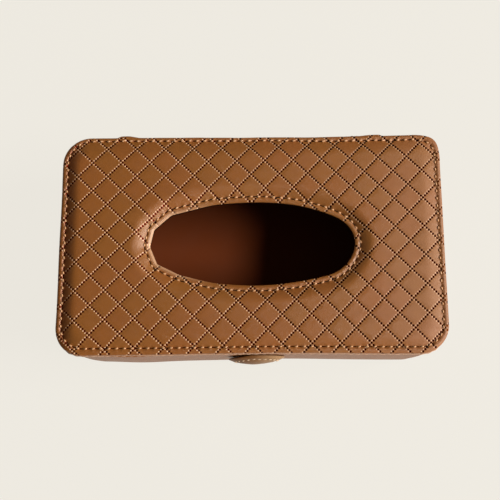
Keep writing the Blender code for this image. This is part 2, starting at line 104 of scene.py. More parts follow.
class Bench:
    """Adds nodes to one tree, in shaders and in Geometry Nodes alike."""

    def __init__(self, tree: Tree) -> None:
        """Keeps the tree that gets the nodes."""
        self.tree = tree

    def feed(self, target: Socket, source: Source) -> None:
        """Links a socket into another, or sets its value.

        Args:
            target: The input to fill.
            source: An output socket, a plain value or a colour.
        """
        if isinstance(source, Socket):
            self.tree.links.new(source, target)
        elif target.type == "RGBA":
            target.default_value = (*source, 1.0)
        else:
            target.default_value = source

    def add(self, kind: str, inputs: dict[str | int, Source] | None = None, **settings: str | Tree) -> Node:
        """Adds a node.

        Args:
            kind: The node's type name.
            inputs: Sources by input name or number.
            settings: Properties of the node.

        Returns:
            The new node.
        """
        node = self.tree.nodes.new(kind)
        for name, value in settings.items():
            setattr(node, name, value)
        for key, source in (inputs or {}).items():
            self.feed(node.inputs[key], source)
        return node

    def math(self, operation: str, *terms: Source) -> Socket:
        """Adds a math node on some terms."""
        return self.add("ShaderNodeMath", dict(enumerate(terms)), operation=operation).outputs[0]

    def plus(self, *terms: Source) -> Socket:
        """Adds all terms up."""
        return reduce(partial(self.math, "ADD"), terms)

    def minus(self, first: Source, second: Source) -> Socket:
        """Takes one term from another."""
        return self.math("SUBTRACT", first, second)

    def times(self, *terms: Source) -> Socket:
        """Multiplies all terms."""
        return reduce(partial(self.math, "MULTIPLY"), terms)

    def most(self, *terms: Source) -> Socket:
        """The largest of all terms."""
        return reduce(partial(self.math, "MAXIMUM"), terms)

    def ease(self, value: Source, start: float, end: float, low: float = 0.0, high: float = 1.0) -> Socket:
        """Eases a value from low at a start to high at an end."""
        marks = {0: value, 1: start, 2: end, 3: low, 4: high}
        return self.add("ShaderNodeMapRange", marks, interpolation_type="SMOOTHSTEP").outputs[0]

    def blend(self, share: Source, first: Source, second: Source) -> Socket:
        """Mixes two colours by the second one's share."""
        return self.add("ShaderNodeMix", {0: share, 6: first, 7: second}, data_type="RGBA").outputs[2]

    def across(self, place: Socket) -> Socket:
        """How far across the box a place lies."""
        return self.add("ShaderNodeSeparateXYZ", {0: place}).outputs[0]

    def painted(self, name: str) -> Socket:
        """A value kept on the mesh, for a material."""
        return self.add("ShaderNodeAttribute", attribute_name=name).outputs["Fac"]

    def kept(self, name: str, kind: str = "FLOAT") -> Socket:
        """A value kept on the mesh, for a Geometry Nodes tree."""
        return self.add("GeometryNodeInputNamedAttribute", {0: name}, data_type=kind).outputs[0]

    def dress(self, geometry: Socket, finish: Socket) -> None:
        """Ends a Geometry Nodes tree: makes instances real and sets the material.

        Args:
            geometry: What the tree has laid.
            finish: The material.
        """
        real = self.add("GeometryNodeRealizeInstances", {0: geometry}).outputs[0]
        dressed = self.add("GeometryNodeSetMaterial", {"Geometry": real, "Material": finish})
        self.add("NodeGroupOutput", {0: dressed.outputs[0]})


def start_group(name: str, inputs: dict[str, float | int | str], outputs: Sequence[str]) -> Bench:
    """Starts a node group with named sockets, for Geometry Nodes where it takes geometry.

    Args:
        name: The group's name.
        inputs: Starting values, or socket types for those without one, by name.
        outputs: Names of its numbers. A Geometry Nodes tree puts out its geometry instead.

    Returns:
        A bench on the new group.
    """
    solid = "NodeSocketGeometry" in inputs.values()
    tree = bpy.data.node_groups.new(name, "GeometryNodeTree" if solid else "ShaderNodeTree")
    kinds = {float: "NodeSocketFloat", int: "NodeSocketInt"}
    for label, value in inputs.items():
        socket = tree.interface.new_socket(label, in_out="INPUT", socket_type=kinds.get(type(value), value))
        if type(value) in kinds:
            socket.default_value = value
    for label in outputs:
        socket_type = "NodeSocketGeometry" if solid else "NodeSocketFloat"
        tree.interface.new_socket(label, in_out="OUTPUT", socket_type=socket_type)
    return Bench(tree)


def run_tree(piece: Piece, tree: Tree, values: dict[str, object]) -> None:
    """Runs a Geometry Nodes tree on a piece and keeps the result as its plain mesh.

    Args:
        piece: The object whose mesh is replaced.
        tree: The tree to run.
        values: Values by input name.
    """
    modifier = piece.modifiers.new("tree", "NODES")
    modifier.node_group = tree
    for item in tree.interface.items_tree:
        if item.item_type == "SOCKET" and item.in_out == "INPUT" and item.name in values:
            modifier[item.identifier] = values[item.name]
    graph = bpy.context.evaluated_depsgraph_get()
    result = bpy.data.meshes.new_from_object(piece.evaluated_get(graph))
    piece.modifiers.remove(modifier)
    spare = piece.data
    piece.data = result
    result.name = piece.name
    bpy.data.meshes.remove(spare)


# Meshes


class Mesher:
    """Collects rows of points and the faces between them, and makes one closed piece of them."""

    inside = -1
    close = 1e-8

    def __init__(self) -> None:
        """Starts with no points and no faces."""
        self.points: list[Array] = []
        self.faces: list[list[int]] = []
        self.count = 0

    def row(self, places: Array) -> Array:
        """Adds points.

        Args:
            places: Their places, one row each.

        Returns:
            Their numbers.
        """
        self.points.append(np.asarray(places, float))
        numbers = np.arange(self.count, self.count + len(places))
        self.count += len(places)
        return numbers

    def bridge(self, first: Array, second: Array, closed: bool = True) -> None:
        """Joins two rows of the same length with quads.

        Args:
            first: Numbers of the first row.
            second: Numbers of the second row.
            closed: Whether the last points are joined to the first ones.
        """
        after_first = np.roll(first, -1)
        after_second = np.roll(second, -1)
        quads = np.stack([first, after_first, after_second, second], axis=1)
        self.faces.extend(quads.tolist() if closed else quads[:-1].tolist())

    def tube(self, rows: Sequence[Array]) -> None:
        """Bridges each closed row to the next."""
        for first, second in zip(rows, rows[1:]):
            self.bridge(first, second)

    def sweep(self, loop: "Loop", section: Section) -> list[Array]:
        """Sweeps a section round a loop.

        Args:
            loop: The loop.
            section: Distances outwards and heights.

        Returns:
            Numbers of the points of each row.
        """
        rows = [self.row(loop.at_height(distance, height)) for distance, height in section]
        self.tube(rows)
        return rows

    def fill(self, loops: Sequence[Array], lay: Lay, inner: Array | None = None) -> Array:
        """Fills the space between loops with triangles.

        Args:
            loops: Numbers of each closed loop's points, the outline first.
            lay: The coordinates to fill over.
            inner: Places of points inside, or None.

        Returns:
            Numbers of the points inside.
        """
        extra = np.array([], int) if inner is None else self.row(inner)
        numbers = np.concatenate([*loops, extra])
        owner = np.full(len(numbers), self.inside)
        edges = []
        start = 0
        for index, loop in enumerate(loops):
            owner[start : start + len(loop)] = index
            edges += [(start + step, start + (step + 1) % len(loop)) for step in range(len(loop))]
            start += len(loop)
        flat = np.concatenate(self.points)[numbers][:, list(lay.value)]
        found = delaunay_2d_cdt([Vector(place) for place in flat], edges, [], 0, self.close)
        origin = [min(sources, default=self.inside) for sources in found[3]]
        for face in found[2]:
            corners = [origin[corner] for corner in face]
            owners = {owner[corner] for corner in corners}
            if len(owners) > 1 or owners == {self.inside}:
                self.faces.append([int(numbers[corner]) for corner in corners])
        return extra

    def piece(self, name: str, material: Material, sharp: float = 40.0) -> Piece:
        """Makes the piece, with its faces outwards.

        Args:
            name: The piece's name.
            material: Its finish.
            sharp: The angle in degrees past which an edge stays sharp.

        Returns:
            The new object, at the origin.
        """
        mesh = bpy.data.meshes.new(name)
        mesh.from_pydata(np.concatenate(self.points), [], self.faces)
        builder = bmesh.new()
        builder.from_mesh(mesh)
        bmesh.ops.recalc_face_normals(builder, faces=builder.faces)
        caps = [face for face in builder.faces if len(face.verts) > 4]
        bmesh.ops.triangulate(builder, faces=caps)
        builder.to_mesh(mesh)
        builder.free()
        mesh.shade_smooth()
        mesh.set_sharp_from_angle(angle=math.radians(sharp))
        mesh.materials.append(material)
        thing = bpy.data.objects.new(name, mesh)
        bpy.context.scene.collection.objects.link(thing)
        return thing


def set_attribute(piece: Piece, name: str, values: Array, kind: str = "FLOAT") -> None:
    """Stores a value, or a vector for the kind FLOAT_VECTOR, for each point of a piece."""
    layer = piece.data.attributes.new(name, kind, "POINT")
    layer.data.foreach_set("value" if kind == "FLOAT" else "vector", np.asarray(values, "f").ravel())


def hand_over(
    piece: Piece,
    body: Body,
    stands_for: Sequence[str] = (),
) -> None:
    """Gives a finished piece to the frame.

    Args:
        piece: The piece.
        body: What it rides on.
        stands_for: CAD nodes that it replaces.
    """
    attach(piece, body.value)
    if stands_for:
        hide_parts(*stands_for)
    LOG.info("%s rides on %s with %d faces", piece.name, body.value, len(piece.data.polygons))


# Sizes


@dataclass(frozen=True)
class Heights:
    """Levels of the layers above the base's underside, in metres."""

    crest: float = 0.0678
    seam: float = 0.0672
    underside: float = 0.0662
    lip: float = 0.0608
    wall_top: float = 0.0647
    layer_top: float = 0.0605
    layer_bottom: float = 0.0030
    wall_bottom: float = 0.0015
    hem_top: float = 0.0027
    base_top: float = 0.0012


HEIGHTS = Heights()


def ramp(values: Array | float, start: float, run: float) -> Array:
    """Share of a run that values have gone from its start, from 0 to 1."""
    return np.clip((values - start) / run, 0, 1)


def swell(offsets: Array, reach: float) -> Array:
    """A soft bump: 1 where the offset is nothing, fading out past its reach."""
    return np.exp(-((offsets / reach) ** 2))


@dataclass(frozen=True)
class PlanOutline:
    """The plan outline of the box: a rectangle with round corners.

    Each pushed corner is a place, a reach and a push outwards. Each slack side of the top or of the walls
    is a middle, a reach, the rear (1) or the front (-1), and a push outwards.
    """

    width: float = 0.240
    depth: float = 0.139
    radius: float = 0.018
    pushed_corners: tuple[tuple[float, float, float, float], ...] = (
        (0.1147, 0.0642, 0.0085, 0.0030),
        (-0.1145, -0.0640, 0.0095, 0.0008),
    )
    push_way: Pair = (0.72, 0.69)
    top_sides: Slacks = ((-0.003, 0.036, 1, -0.0006), (0.040, 0.020, 1, -0.0004), (0.017, 0.058, -1, -0.0010))
    wall_sides: Slacks = ((0.020, 0.045, -1, -0.0011), (-0.076, 0.020, -1, 0.0010))
    wall_push_share: float = 0.4
    wall_zone: float = 0.05

    @property
    def reach(self) -> Pair:
        """Half lengths of the straight stretches across and along."""
        return self.width / 2 - self.radius, self.depth / 2 - self.radius

    @property
    def quarter(self) -> float:
        """Length of one round corner."""
        return math.pi / 2 * self.radius

    @property
    def perimeter(self) -> float:
        """Length of the whole outline."""
        return 4 * (self.reach[0] + self.reach[1] + self.quarter)

    def inset(self, places: Array) -> Array:
        """How far places lie inside the outline.

        Args:
            places: Plan places.

        Returns:
            The distance of each.
        """
        over_x = np.abs(places[:, 0]) - self.reach[0]
        over_y = np.abs(places[:, 1]) - self.reach[1]
        outside = np.hypot(np.maximum(over_x, 0), np.maximum(over_y, 0))
        return self.radius - outside - np.minimum(np.maximum(over_x, over_y), 0)

    def walk(self, runs: Array) -> tuple[Array, Array]:
        """Places on the outline and the outward directions there.

        Args:
            runs: Distances along it, anticlockwise from the front end of the left wall.

        Returns:
            The places and the directions.
        """
        across, along = self.reach
        turns = (
            (-across, -along, math.pi, 2 * across),
            (across, -along, 1.5 * math.pi, 2 * along),
            (across, along, 0.0, 2 * across),
            (-across, along, 0.5 * math.pi, 2 * along),
        )
        places = np.zeros((len(runs), 2))
        outward = np.zeros((len(runs), 2))
        rest = np.mod(runs, self.perimeter)
        start = 0.0
        for centre_x, centre_y, angle, length in turns:
            inside = (rest >= start) & (rest < start + self.quarter + length)
            arc = np.minimum(rest[inside] - start, self.quarter) / self.radius + angle
            further = np.maximum(rest[inside] - start - self.quarter, 0)
            direction = np.stack([np.cos(arc), np.sin(arc)], axis=1)
            ahead = np.array([-math.sin(angle + math.pi / 2), math.cos(angle + math.pi / 2)])
            centre = np.array([centre_x, centre_y])
            places[inside] = centre + direction * self.radius + further[:, None] * ahead
            outward[inside] = direction
            start += self.quarter + length
        return places, outward

    def loop(self, step: float) -> "Loop":
        """The outline as a loop of places a step apart."""
        return Loop(*self.walk(np.arange(0, self.perimeter, step)))

    def off(self, places: Array, push_share: float, sides: Slacks, zone: float) -> Array:
        """How far sewn leather lies from the plain outline: pushed corners and slack sides.

        Args:
            places: Plan places.
            push_share: How much of the corners' push it has.
            sides: Its slack sides.
            zone: How far from the middle the sides start.

        Returns:
            The way each has moved.
        """
        result = np.zeros((len(places), 2))
        for x, y, reach, push in self.pushed_corners:
            gap = np.hypot(places[:, 0] - x, places[:, 1] - y)
            result += (swell(gap, reach) * push * push_share)[:, None] * np.copysign(self.push_way, (x, y))
        for middle, reach, side, push in sides:
            share = swell(places[:, 0] - middle, reach)
            result[:, 1] += np.where(places[:, 1] * side > zone, share * push * side, 0)
        return result

    def drift(self, places: Array) -> Array:
        """How far the top lies from the plain outline, near its edge."""
        return self.off(places, 1.0, self.top_sides, 0.0)

    def sway(self, places: Array) -> Array:
        """How far the walls and the base lie from the plain outline."""
        return self.off(places, self.wall_push_share, self.wall_sides, self.wall_zone)


PLAN = PlanOutline()


@dataclass(frozen=True)
class Loop:
    """A closed run of places in the plan, with the outward direction at each."""

    places: Array
    outward: Array

    def moved(self, distance: float) -> Array:
        """The places moved outwards by a distance."""
        return self.places + self.outward * distance

    def at_height(self, distance: float, height: float | Array) -> Array:
        """The places moved outwards and set at a height, one for all or one each."""
        return np.column_stack([self.moved(distance), np.broadcast_to(height, len(self.places))])


def level(flat: Array, height: float) -> Array:
    """Plan places set at one height."""
    return np.column_stack([flat, np.full(len(flat), height)])


def measure_from(track: Array, targets: Array) -> tuple[Array, Array]:
    """Finds how far places lie from a closed track, and where along it.

    Args:
        track: The track's corners.
        targets: The places.

    Returns:
        The distance of each place, and its run along the track.
    """
    ahead = np.roll(track, -1, axis=0) - track
    lengths = np.hypot(*ahead.T)
    starts = np.concatenate([[0.0], np.cumsum(lengths)[:-1]])
    far = np.empty(len(targets))
    run = np.empty(len(targets))
    step = 4000
    for first in range(0, len(targets), step):
        some = targets[first : first + step]
        offset = some[:, None, :] - track[None, :, :]
        share = np.clip((offset * ahead).sum(axis=2) / lengths**2, 0, 1)
        gap = np.hypot(*np.moveaxis(offset - share[:, :, None] * ahead, 2, 0))
        nearest = gap.argmin(axis=1)
        rows = np.arange(len(some))
        far[first : first + step] = gap[rows, nearest]
        run[first : first + step] = starts[nearest] + share[rows, nearest] * lengths[nearest]
    return far, run


def resample(track: Array, count: int) -> Array:
    """Spaces places evenly along a closed track.

    Args:
        track: The track's corners.
        count: How many places are wanted.

    Returns:
        The places.
    """
    closed = np.vstack([track, track[:1]])
    lengths = np.concatenate([[0.0], np.cumsum(np.linalg.norm(np.diff(closed, axis=0), axis=1))])
    marks = np.linspace(0, lengths[-1], count, endpoint=False)
    return np.stack([np.interp(marks, lengths, closed[:, axis]) for axis in range(track.shape[1])], axis=1)


def track_length(track: Array) -> float:
    """Length of a closed track."""
    return float(np.linalg.norm(np.roll(track, -1, axis=0) - track, axis=1).sum())


def encloses(track: Array, targets: Array) -> Array:
    """Whether places lie inside a closed track.

    Args:
        track: The track's corners.
        targets: The places.

    Returns:
        Yes or no for each.
    """
    inside = np.zeros(len(targets), bool)
    for start, end in zip(track, np.roll(track, -1, axis=0)):
        if start[1] == end[1]:
            continue
        crosses = (start[1] > targets[:, 1]) != (end[1] > targets[:, 1])
        at = start[0] + (targets[:, 1] - start[1]) * (end[0] - start[0]) / (end[1] - start[1])
        inside ^= crosses & (targets[:, 0] < at)
    return inside


@dataclass(frozen=True)
class OpeningOutline:
    """The oval opening: corners in millimetres, each with how softly the leather turns there."""

    corners: tuple[Triple, ...] = (
        (-63.3, -1.9, 0.07), (-60.9, 8.9, 0.06), (-50.2, 18.4, 0.07), (-23.5, 25.1, 0.22),
        (3.3, 26.8, 0.50), (29.6, 24.7, 0.50), (52.9, 17.0, 0.40), (62.4, 9.8, 0.50),
        (65.8, -1.6, 0.50), (60.4, -13.4, 0.50), (50.6, -20.4, 0.40), (26.2, -25.4, 0.50),
        (2.2, -27.3, 0.50), (-23.2, -25.2, 0.26), (-44.2, -20.0, 0.12), (-58.6, -12.9, 0.06),
    )
    millimetres: float = 1000.0
    arc_points: int = 9

    def loop(self, count: int) -> Loop:
        """Rounds the corners and spaces places evenly.

        Args:
            count: How many places.

        Returns:
            The loop, anticlockwise.
        """
        dense = []
        total = len(self.corners)
        for index, (x, y, softness) in enumerate(self.corners):
            here = np.array([x, y])
            before = here + (np.array(self.corners[index - 1][:2]) - here) * softness
            after = here + (np.array(self.corners[(index + 1) % total][:2]) - here) * softness
            for share in np.linspace(0, 1, self.arc_points):
                dense.append((1 - share) ** 2 * before + 2 * share * (1 - share) * here + share**2 * after)
        track = resample(np.array(dense[::-1]) / self.millimetres, count)
        ahead = np.roll(track, -2, axis=0) - np.roll(track, 2, axis=0)
        outward = np.stack([ahead[:, 1], -ahead[:, 0]], axis=1)
        return Loop(track, outward / np.linalg.norm(outward, axis=1)[:, None])


OPENING = OpeningOutline()


@dataclass(frozen=True)
class Ripple:
    """A soft, irregular wave over sewn leather: its length, its height and what makes it differ.

    Each of its waves has an angle, how much shorter it is, and its share of the height.
    """

    length: float
    height: float
    seed: float
    waves: tuple[Triple, ...] = ((0.4, 1.0, 0.5), (1.7, 1.63, 0.3), (2.6, 2.71, 0.2))
    seed_step: float = 1.3

    def at(self, places: Array) -> Array:
        """Its height at places in the plan or in space.

        Args:
            places: The places.

        Returns:
            The wave at each place, either way.
        """
        turn = 2 * math.pi / self.length
        result = np.zeros(len(places))
        for order, (angle, shorter, share) in enumerate(self.waves):
            way = angle + self.seed
            across = places[:, 0] * math.cos(way) + places[:, 1] * math.sin(way)
            if places.shape[1] > 2:
                across = across + places[:, 2] * math.cos(2 * angle)
            result += share * np.sin(turn * shorter * across + self.seed * (order + self.seed_step))
        return result * self.height


# Quilting


@dataclass
class QuiltMarks:
    """Sockets that say where a place lies in the quilting."""

    pit: Socket
    bead: Socket
    # rim: the spot to the right of each pit, used only for a painted highlight ring.
    rim: Socket
    pillow: Socket
    diamond: Socket


@dataclass(frozen=True)
class Quilting:
    """The dotted diamond quilting, as one rule for the mesh and for its finish.

    The rule works on diamond counts: how many diamonds a place lies from the middle along the rising and
    the falling lines. The leather is pulled a little out of true when it is padded and sewn, so the
    counts are stored on the mesh. The pulls, across and along, are sums of powers of the place, with a
    row of terms for each power across.
    """

    rising: Pair = (0.008939, 0.009125)
    falling: Pair = (0.009011, -0.008858)
    shift: Pair = (0.000176, -0.001094)
    pull_span: Pair = (0.100, 0.060)
    pulls: tuple[Grid, Grid] = (
        (
            (0.000484, 0.0, 0.0, -0.000329),
            (-0.000624, 0.000181, 0.000189, 0.0),
            (-0.000834, 0.0, 0.0, 0.0),
            (0.000858, 0.0, 0.0, 0.0),
        ),
        (
            (0.000166, -0.000809, 0.000122, 0.000274),
            (0.0, -0.000260, 0.0, 0.0),
            (-0.000160, 0.001118, 0.0, 0.0),
        ),
    )
    pits_per_side: int = 7
    pit_radius: float = 0.00080
    pit_depth: float = 0.00026
    pit_share: float = 0.0035
    bead_share: float = 0.0608
    # Where and how wide the painted highlight ring to the right of each pit lies.
    lit_ring_share: float = -0.0850
    lit_ring_radius: float = 0.00100
    bead_radius: float = 0.00062
    bead_rise: float = 0.00006
    soft_share: float = 0.10
    relief: float = 0.00002
    pillow_power: float = 3.4
    hole_depth: float = 0.0006
    slack: float = 0.00007
    slack_scale: float = 38.0
    pit_rings: tuple[tuple[int, float], ...] = ((6, 0.00034), (8, 0.00068))
    bead_points: Section = ((0.0, 0.0), (0.0, 0.00036), (0.0, -0.00036), (-0.00036, 0.0), (-0.0007, 0.0002))
    field_shares: Numbers = (-0.26, -0.13, 0.0, 0.13, 0.26)
    decimals: int = 6

    @property
    def side(self) -> float:
        """Side of a diamond."""
        return (math.hypot(*self.rising) + math.hypot(*self.falling)) / 2

    @property
    def lines(self) -> Array:
        """The ways of one count along the rising and the falling lines."""
        return np.array([self.rising, self.falling])

    def pull(self, places: Array) -> Array:
        """How far the leather at plan places is pulled out of true."""
        across, along = (places / np.array(self.pull_span)).T
        return np.column_stack([polyval2d(across, along, terms) for terms in self.pulls])

    def places(self, counts: Array) -> Array:
        """Plan places of counts along the rising and the falling lines."""
        straight = counts @ self.lines + np.array(self.shift)
        return straight + self.pull(straight)

    def counts(self, places: Array) -> Array:
        """Diamond counts of plan places.

        Args:
            places: The places.

        Returns:
            The counts along the rising and the falling lines.
        """
        straight = places.copy()
        for _ in range(4):
            straight = places - self.pull(straight)
        return (straight - np.array(self.shift)) @ np.linalg.inv(self.lines)

    def marks(self, bench: Bench, counted: Source) -> QuiltMarks:
        """Builds the rule in a tree.

        Args:
            bench: The tree's bench.
            counted: The stored diamond counts.

        Returns:
            The sockets.
        """
        rising, falling = bench.add("ShaderNodeSeparateXYZ", {0: counted}).outputs[:2]
        count = float(self.pits_per_side)

        def off(value: Source, times: float, shift: float = 0.0) -> Socket:
            """Distance from the nearest mark of a row of marks."""
            part = bench.math("FRACT", bench.math("MULTIPLY_ADD", value, times, shift * times))
            return bench.times(bench.math("ABSOLUTE", bench.minus(part, 0.5)), self.side / times)

        def spot(across: Source, along: Source, radius: float) -> Socket:
            """A round spot: 1 in its middle, 0 from its rim."""
            squares = bench.math("MULTIPLY_ADD", across, across, bench.times(along, along))
            return bench.ease(bench.math("SQRT", squares), radius, radius * self.soft_share)

        def spots(radius: float, shift: float) -> Socket:
            """The spots along both sets of lines, moved sideways."""
            ways = ((rising, falling), (falling, rising))
            return bench.most(*[spot(off(to, 1.0, shift), off(on, count, shift), radius) for to, on in ways])

        def puffed(value: Source) -> Socket:
            """How far the padding swells between two lines: 0 on them, 1 midway."""
            inwards = bench.minus(1.0, bench.math("DIVIDE", off(value, 1.0), self.side / 2))
            return bench.minus(1.0, bench.math("POWER", inwards, self.pillow_power))

        pit = spots(self.pit_radius, self.pit_share)
        # Spots to the right of the pits, for the painted highlight ring only.
        rim = spots(self.lit_ring_radius, self.lit_ring_share)
        bead = spots(self.bead_radius, self.bead_share)
        pillow = bench.times(puffed(rising), puffed(falling))
        nearest = [bench.math("FLOOR", bench.plus(value, 0.5)) for value in (rising, falling)]
        cell = bench.add("ShaderNodeCombineXYZ", {0: nearest[0], 1: nearest[1], 2: 4.0})
        noise = bench.add("ShaderNodeTexWhiteNoise", {0: cell.outputs[0]}, noise_dimensions="3D")
        return QuiltMarks(pit, bead, rim, pillow, noise.outputs[0])

    def around(self, counts: Array, points: Array) -> Array:
        """Places of a few points round each count."""
        return (self.places(counts)[:, None, :] + points[None, :, :]).reshape(-1, 2)

    def field_places(self, half_width: float, half_depth: float) -> Array:
        """Places for mesh points: rings round each pit, spots on each bead, and a few in each diamond.

        Args:
            half_width: How far the places reach across.
            half_depth: How far they reach along.

        Returns:
            Plan places.
        """
        ring_points = [(0.0, 0.0)]
        for count, radius in self.pit_rings:
            angles = 2 * math.pi * (np.arange(count) + 0.25) / count
            ring_points += [(radius * math.cos(angle), radius * math.sin(angle)) for angle in angles]
        reach = int((half_width + half_depth) / (2 * abs(self.rising[0]))) + 2
        fine_reach = reach * self.pits_per_side
        lines = np.arange(-reach, reach) + 0.5
        steps = (np.arange(-fine_reach, fine_reach) + 0.5) / self.pits_per_side
        row = np.stack(np.meshgrid(lines, steps, indexing="ij"), axis=-1).reshape(-1, 2)
        pits = np.unique(np.round(np.concatenate([row, row[:, ::-1]]), self.decimals), axis=0)
        grid = (np.arange(-reach, reach + 1)[:, None] + np.array(self.field_shares)[None, :]).ravel()
        inner = np.stack(np.meshgrid(grid, grid, indexing="ij"), axis=-1).reshape(-1, 2)
        every = np.concatenate(
            [
                self.around(pits, np.array(ring_points)),
                self.around(pits - self.bead_share, np.array(self.bead_points)),
                self.places(inner),
            ]
        )
        near = (np.abs(every[:, 0]) < half_width) & (np.abs(every[:, 1]) < half_depth)
        return np.unique(np.round(every[near], self.decimals), axis=0)

    def tree(self) -> Tree:
        """Builds the Geometry Nodes tree that presses the quilting into the padded top.

        Returns:
            The tree.
        """
        inputs = {
            "Geometry": "NodeSocketGeometry",
            "Relief": self.relief,
            "Pit Depth": self.pit_depth,
            "Bead Rise": self.bead_rise,
            "Seam Hole Depth": self.hole_depth,
            "Slack": self.slack,
            "Seed": 3.0,
            "Finish": "NodeSocketMaterial",
        }
        bench = start_group("quilting", inputs, ["Geometry"])
        source = bench.add("NodeGroupInput").outputs
        marks = self.marks(bench, bench.kept("diamonds", "FLOAT_VECTOR"))
        padding = bench.times(marks.pillow, source["Relief"], bench.kept("fade"))
        bead = bench.times(marks.bead, source["Bead Rise"])
        dots = bench.minus(bead, bench.times(marks.pit, source["Pit Depth"]))
        hole = bench.times(bench.kept("seam_hole"), source["Seam Hole Depth"])
        waves = {"Scale": self.slack_scale, "W": source["Seed"]}
        noise = bench.add("ShaderNodeTexNoise", waves, noise_dimensions="4D").outputs[0]
        slack = bench.times(bench.minus(noise, 0.5), source["Slack"])
        rise = bench.plus(padding, bench.times(dots, bench.kept("quilted")), slack)
        rise = bench.times(bench.minus(rise, hole), bench.kept("outside"))
        outward = bench.add("GeometryNodeInputNormal").outputs[0]
        offset = bench.add("ShaderNodeVectorMath", {0: outward, 3: rise}, operation="SCALE").outputs[0]
        moved = bench.add("GeometryNodeSetPosition", {"Geometry": source["Geometry"], "Offset": offset})
        bench.dress(moved.outputs[0], source["Finish"])
        return bench.tree


QUILTING = Quilting()


# Finishes


def grain_group() -> Tree:
    """Builds the leather grain: fine cells, soft creases and a mottled tint.

    Returns:
        The group.
    """
    inputs = {"Vector": "NodeSocketVector", "Scale": 1.0}
    bench = start_group("leather_grain", inputs, ["Height", "Mottle", "Patch"])
    source = bench.add("NodeGroupInput").outputs
    scaled = {0: source["Vector"], 3: source["Scale"]}
    vector = bench.add("ShaderNodeVectorMath", scaled, operation="SCALE").outputs[0]

    def noise(scale: float, detail: float) -> list[Socket]:
        """Soft noise of one fineness, as a value and as a colour."""
        return bench.add("ShaderNodeTexNoise", {"Vector": vector, "Scale": scale, "Detail": detail}).outputs

    bend = {0: noise(420.0, 1.0)[1], 1: (0.0009, 0.0009, 0.0009), 2: vector}
    bent = bench.add("ShaderNodeVectorMath", bend, operation="MULTIPLY_ADD").outputs[0]
    cells = bench.add("ShaderNodeTexVoronoi", {"Vector": bent, "Scale": 1500.0}, feature="DISTANCE_TO_EDGE")
    pebble = bench.ease(cells.outputs[0], 0.0, 0.22)
    height = bench.math("MULTIPLY_ADD", noise(3200.0, 2.0)[0], 0.5, pebble)
    bench.add("NodeGroupOutput", {0: height, 1: noise(160.0, 4.0)[0], 2: noise(22.0, 2.0)[0]})
    return bench.tree


def weave_group() -> Tree:
    """Builds a plain weave: rows of threads over and under each other.

    Returns:
        The group.
    """
    inputs = {"Vector": "NodeSocketVector", "Threads Across": 900.0, "Threads Along": 900.0}
    bench = start_group("weave", inputs, ["Height", "Shade"])
    source = bench.add("NodeGroupInput").outputs
    across, along, up = bench.add("ShaderNodeSeparateXYZ", {0: source["Vector"]}).outputs
    waves = []
    for value, label in ((across, "Threads Across"), (bench.plus(along, up), "Threads Along")):
        waves.append(bench.math("SINE", bench.times(value, source[label], math.pi)))
    height = bench.math("ABSOLUTE", bench.times(*waves))
    cloud = bench.add("ShaderNodeTexNoise", {"Vector": source["Vector"], "Scale": 60.0, "Detail": 3.0})
    bench.add("NodeGroupOutput", {0: height, 1: cloud.outputs[0]})
    return bench.tree


GRAIN = grain_group()
WEAVE = weave_group()


def start_material(name: str) -> tuple[Material, Bench, Node, Socket]:
    """Starts a material.

    Args:
        name: Its name.

    Returns:
        The material, its bench, its Principled shader and its Object coordinates.
    """
    material = bpy.data.materials.new(name)
    material.use_nodes = True
    bench = Bench(material.node_tree)
    shader = next(node for node in material.node_tree.nodes if node.type == "BSDF_PRINCIPLED")
    coordinates = bench.add("ShaderNodeTexCoord").outputs["Object"]
    return material, bench, shader, coordinates


def add_bump(bench: Bench, shader: Node, height: Source, depth: float) -> None:
    """Feeds a height of 0 to 1 into a shader's normal, where 1 stands for a depth in metres."""
    bump = bench.add("ShaderNodeBump", {"Strength": 1.0, "Distance": depth, "Height": height})
    bench.feed(shader.inputs["Normal"], bump.outputs[0])


def group_node(bench: Bench, tree: Tree, inputs: dict[str, Source]) -> Node:
    """Places a shared group in a material.

    Args:
        bench: The material's bench.
        tree: The group.
        inputs: Sources by input name.

    Returns:
        The group's node.
    """
    node = bench.add("ShaderNodeGroup", node_tree=tree)
    for name, source in inputs.items():
        bench.feed(node.inputs[name], source)
    return node


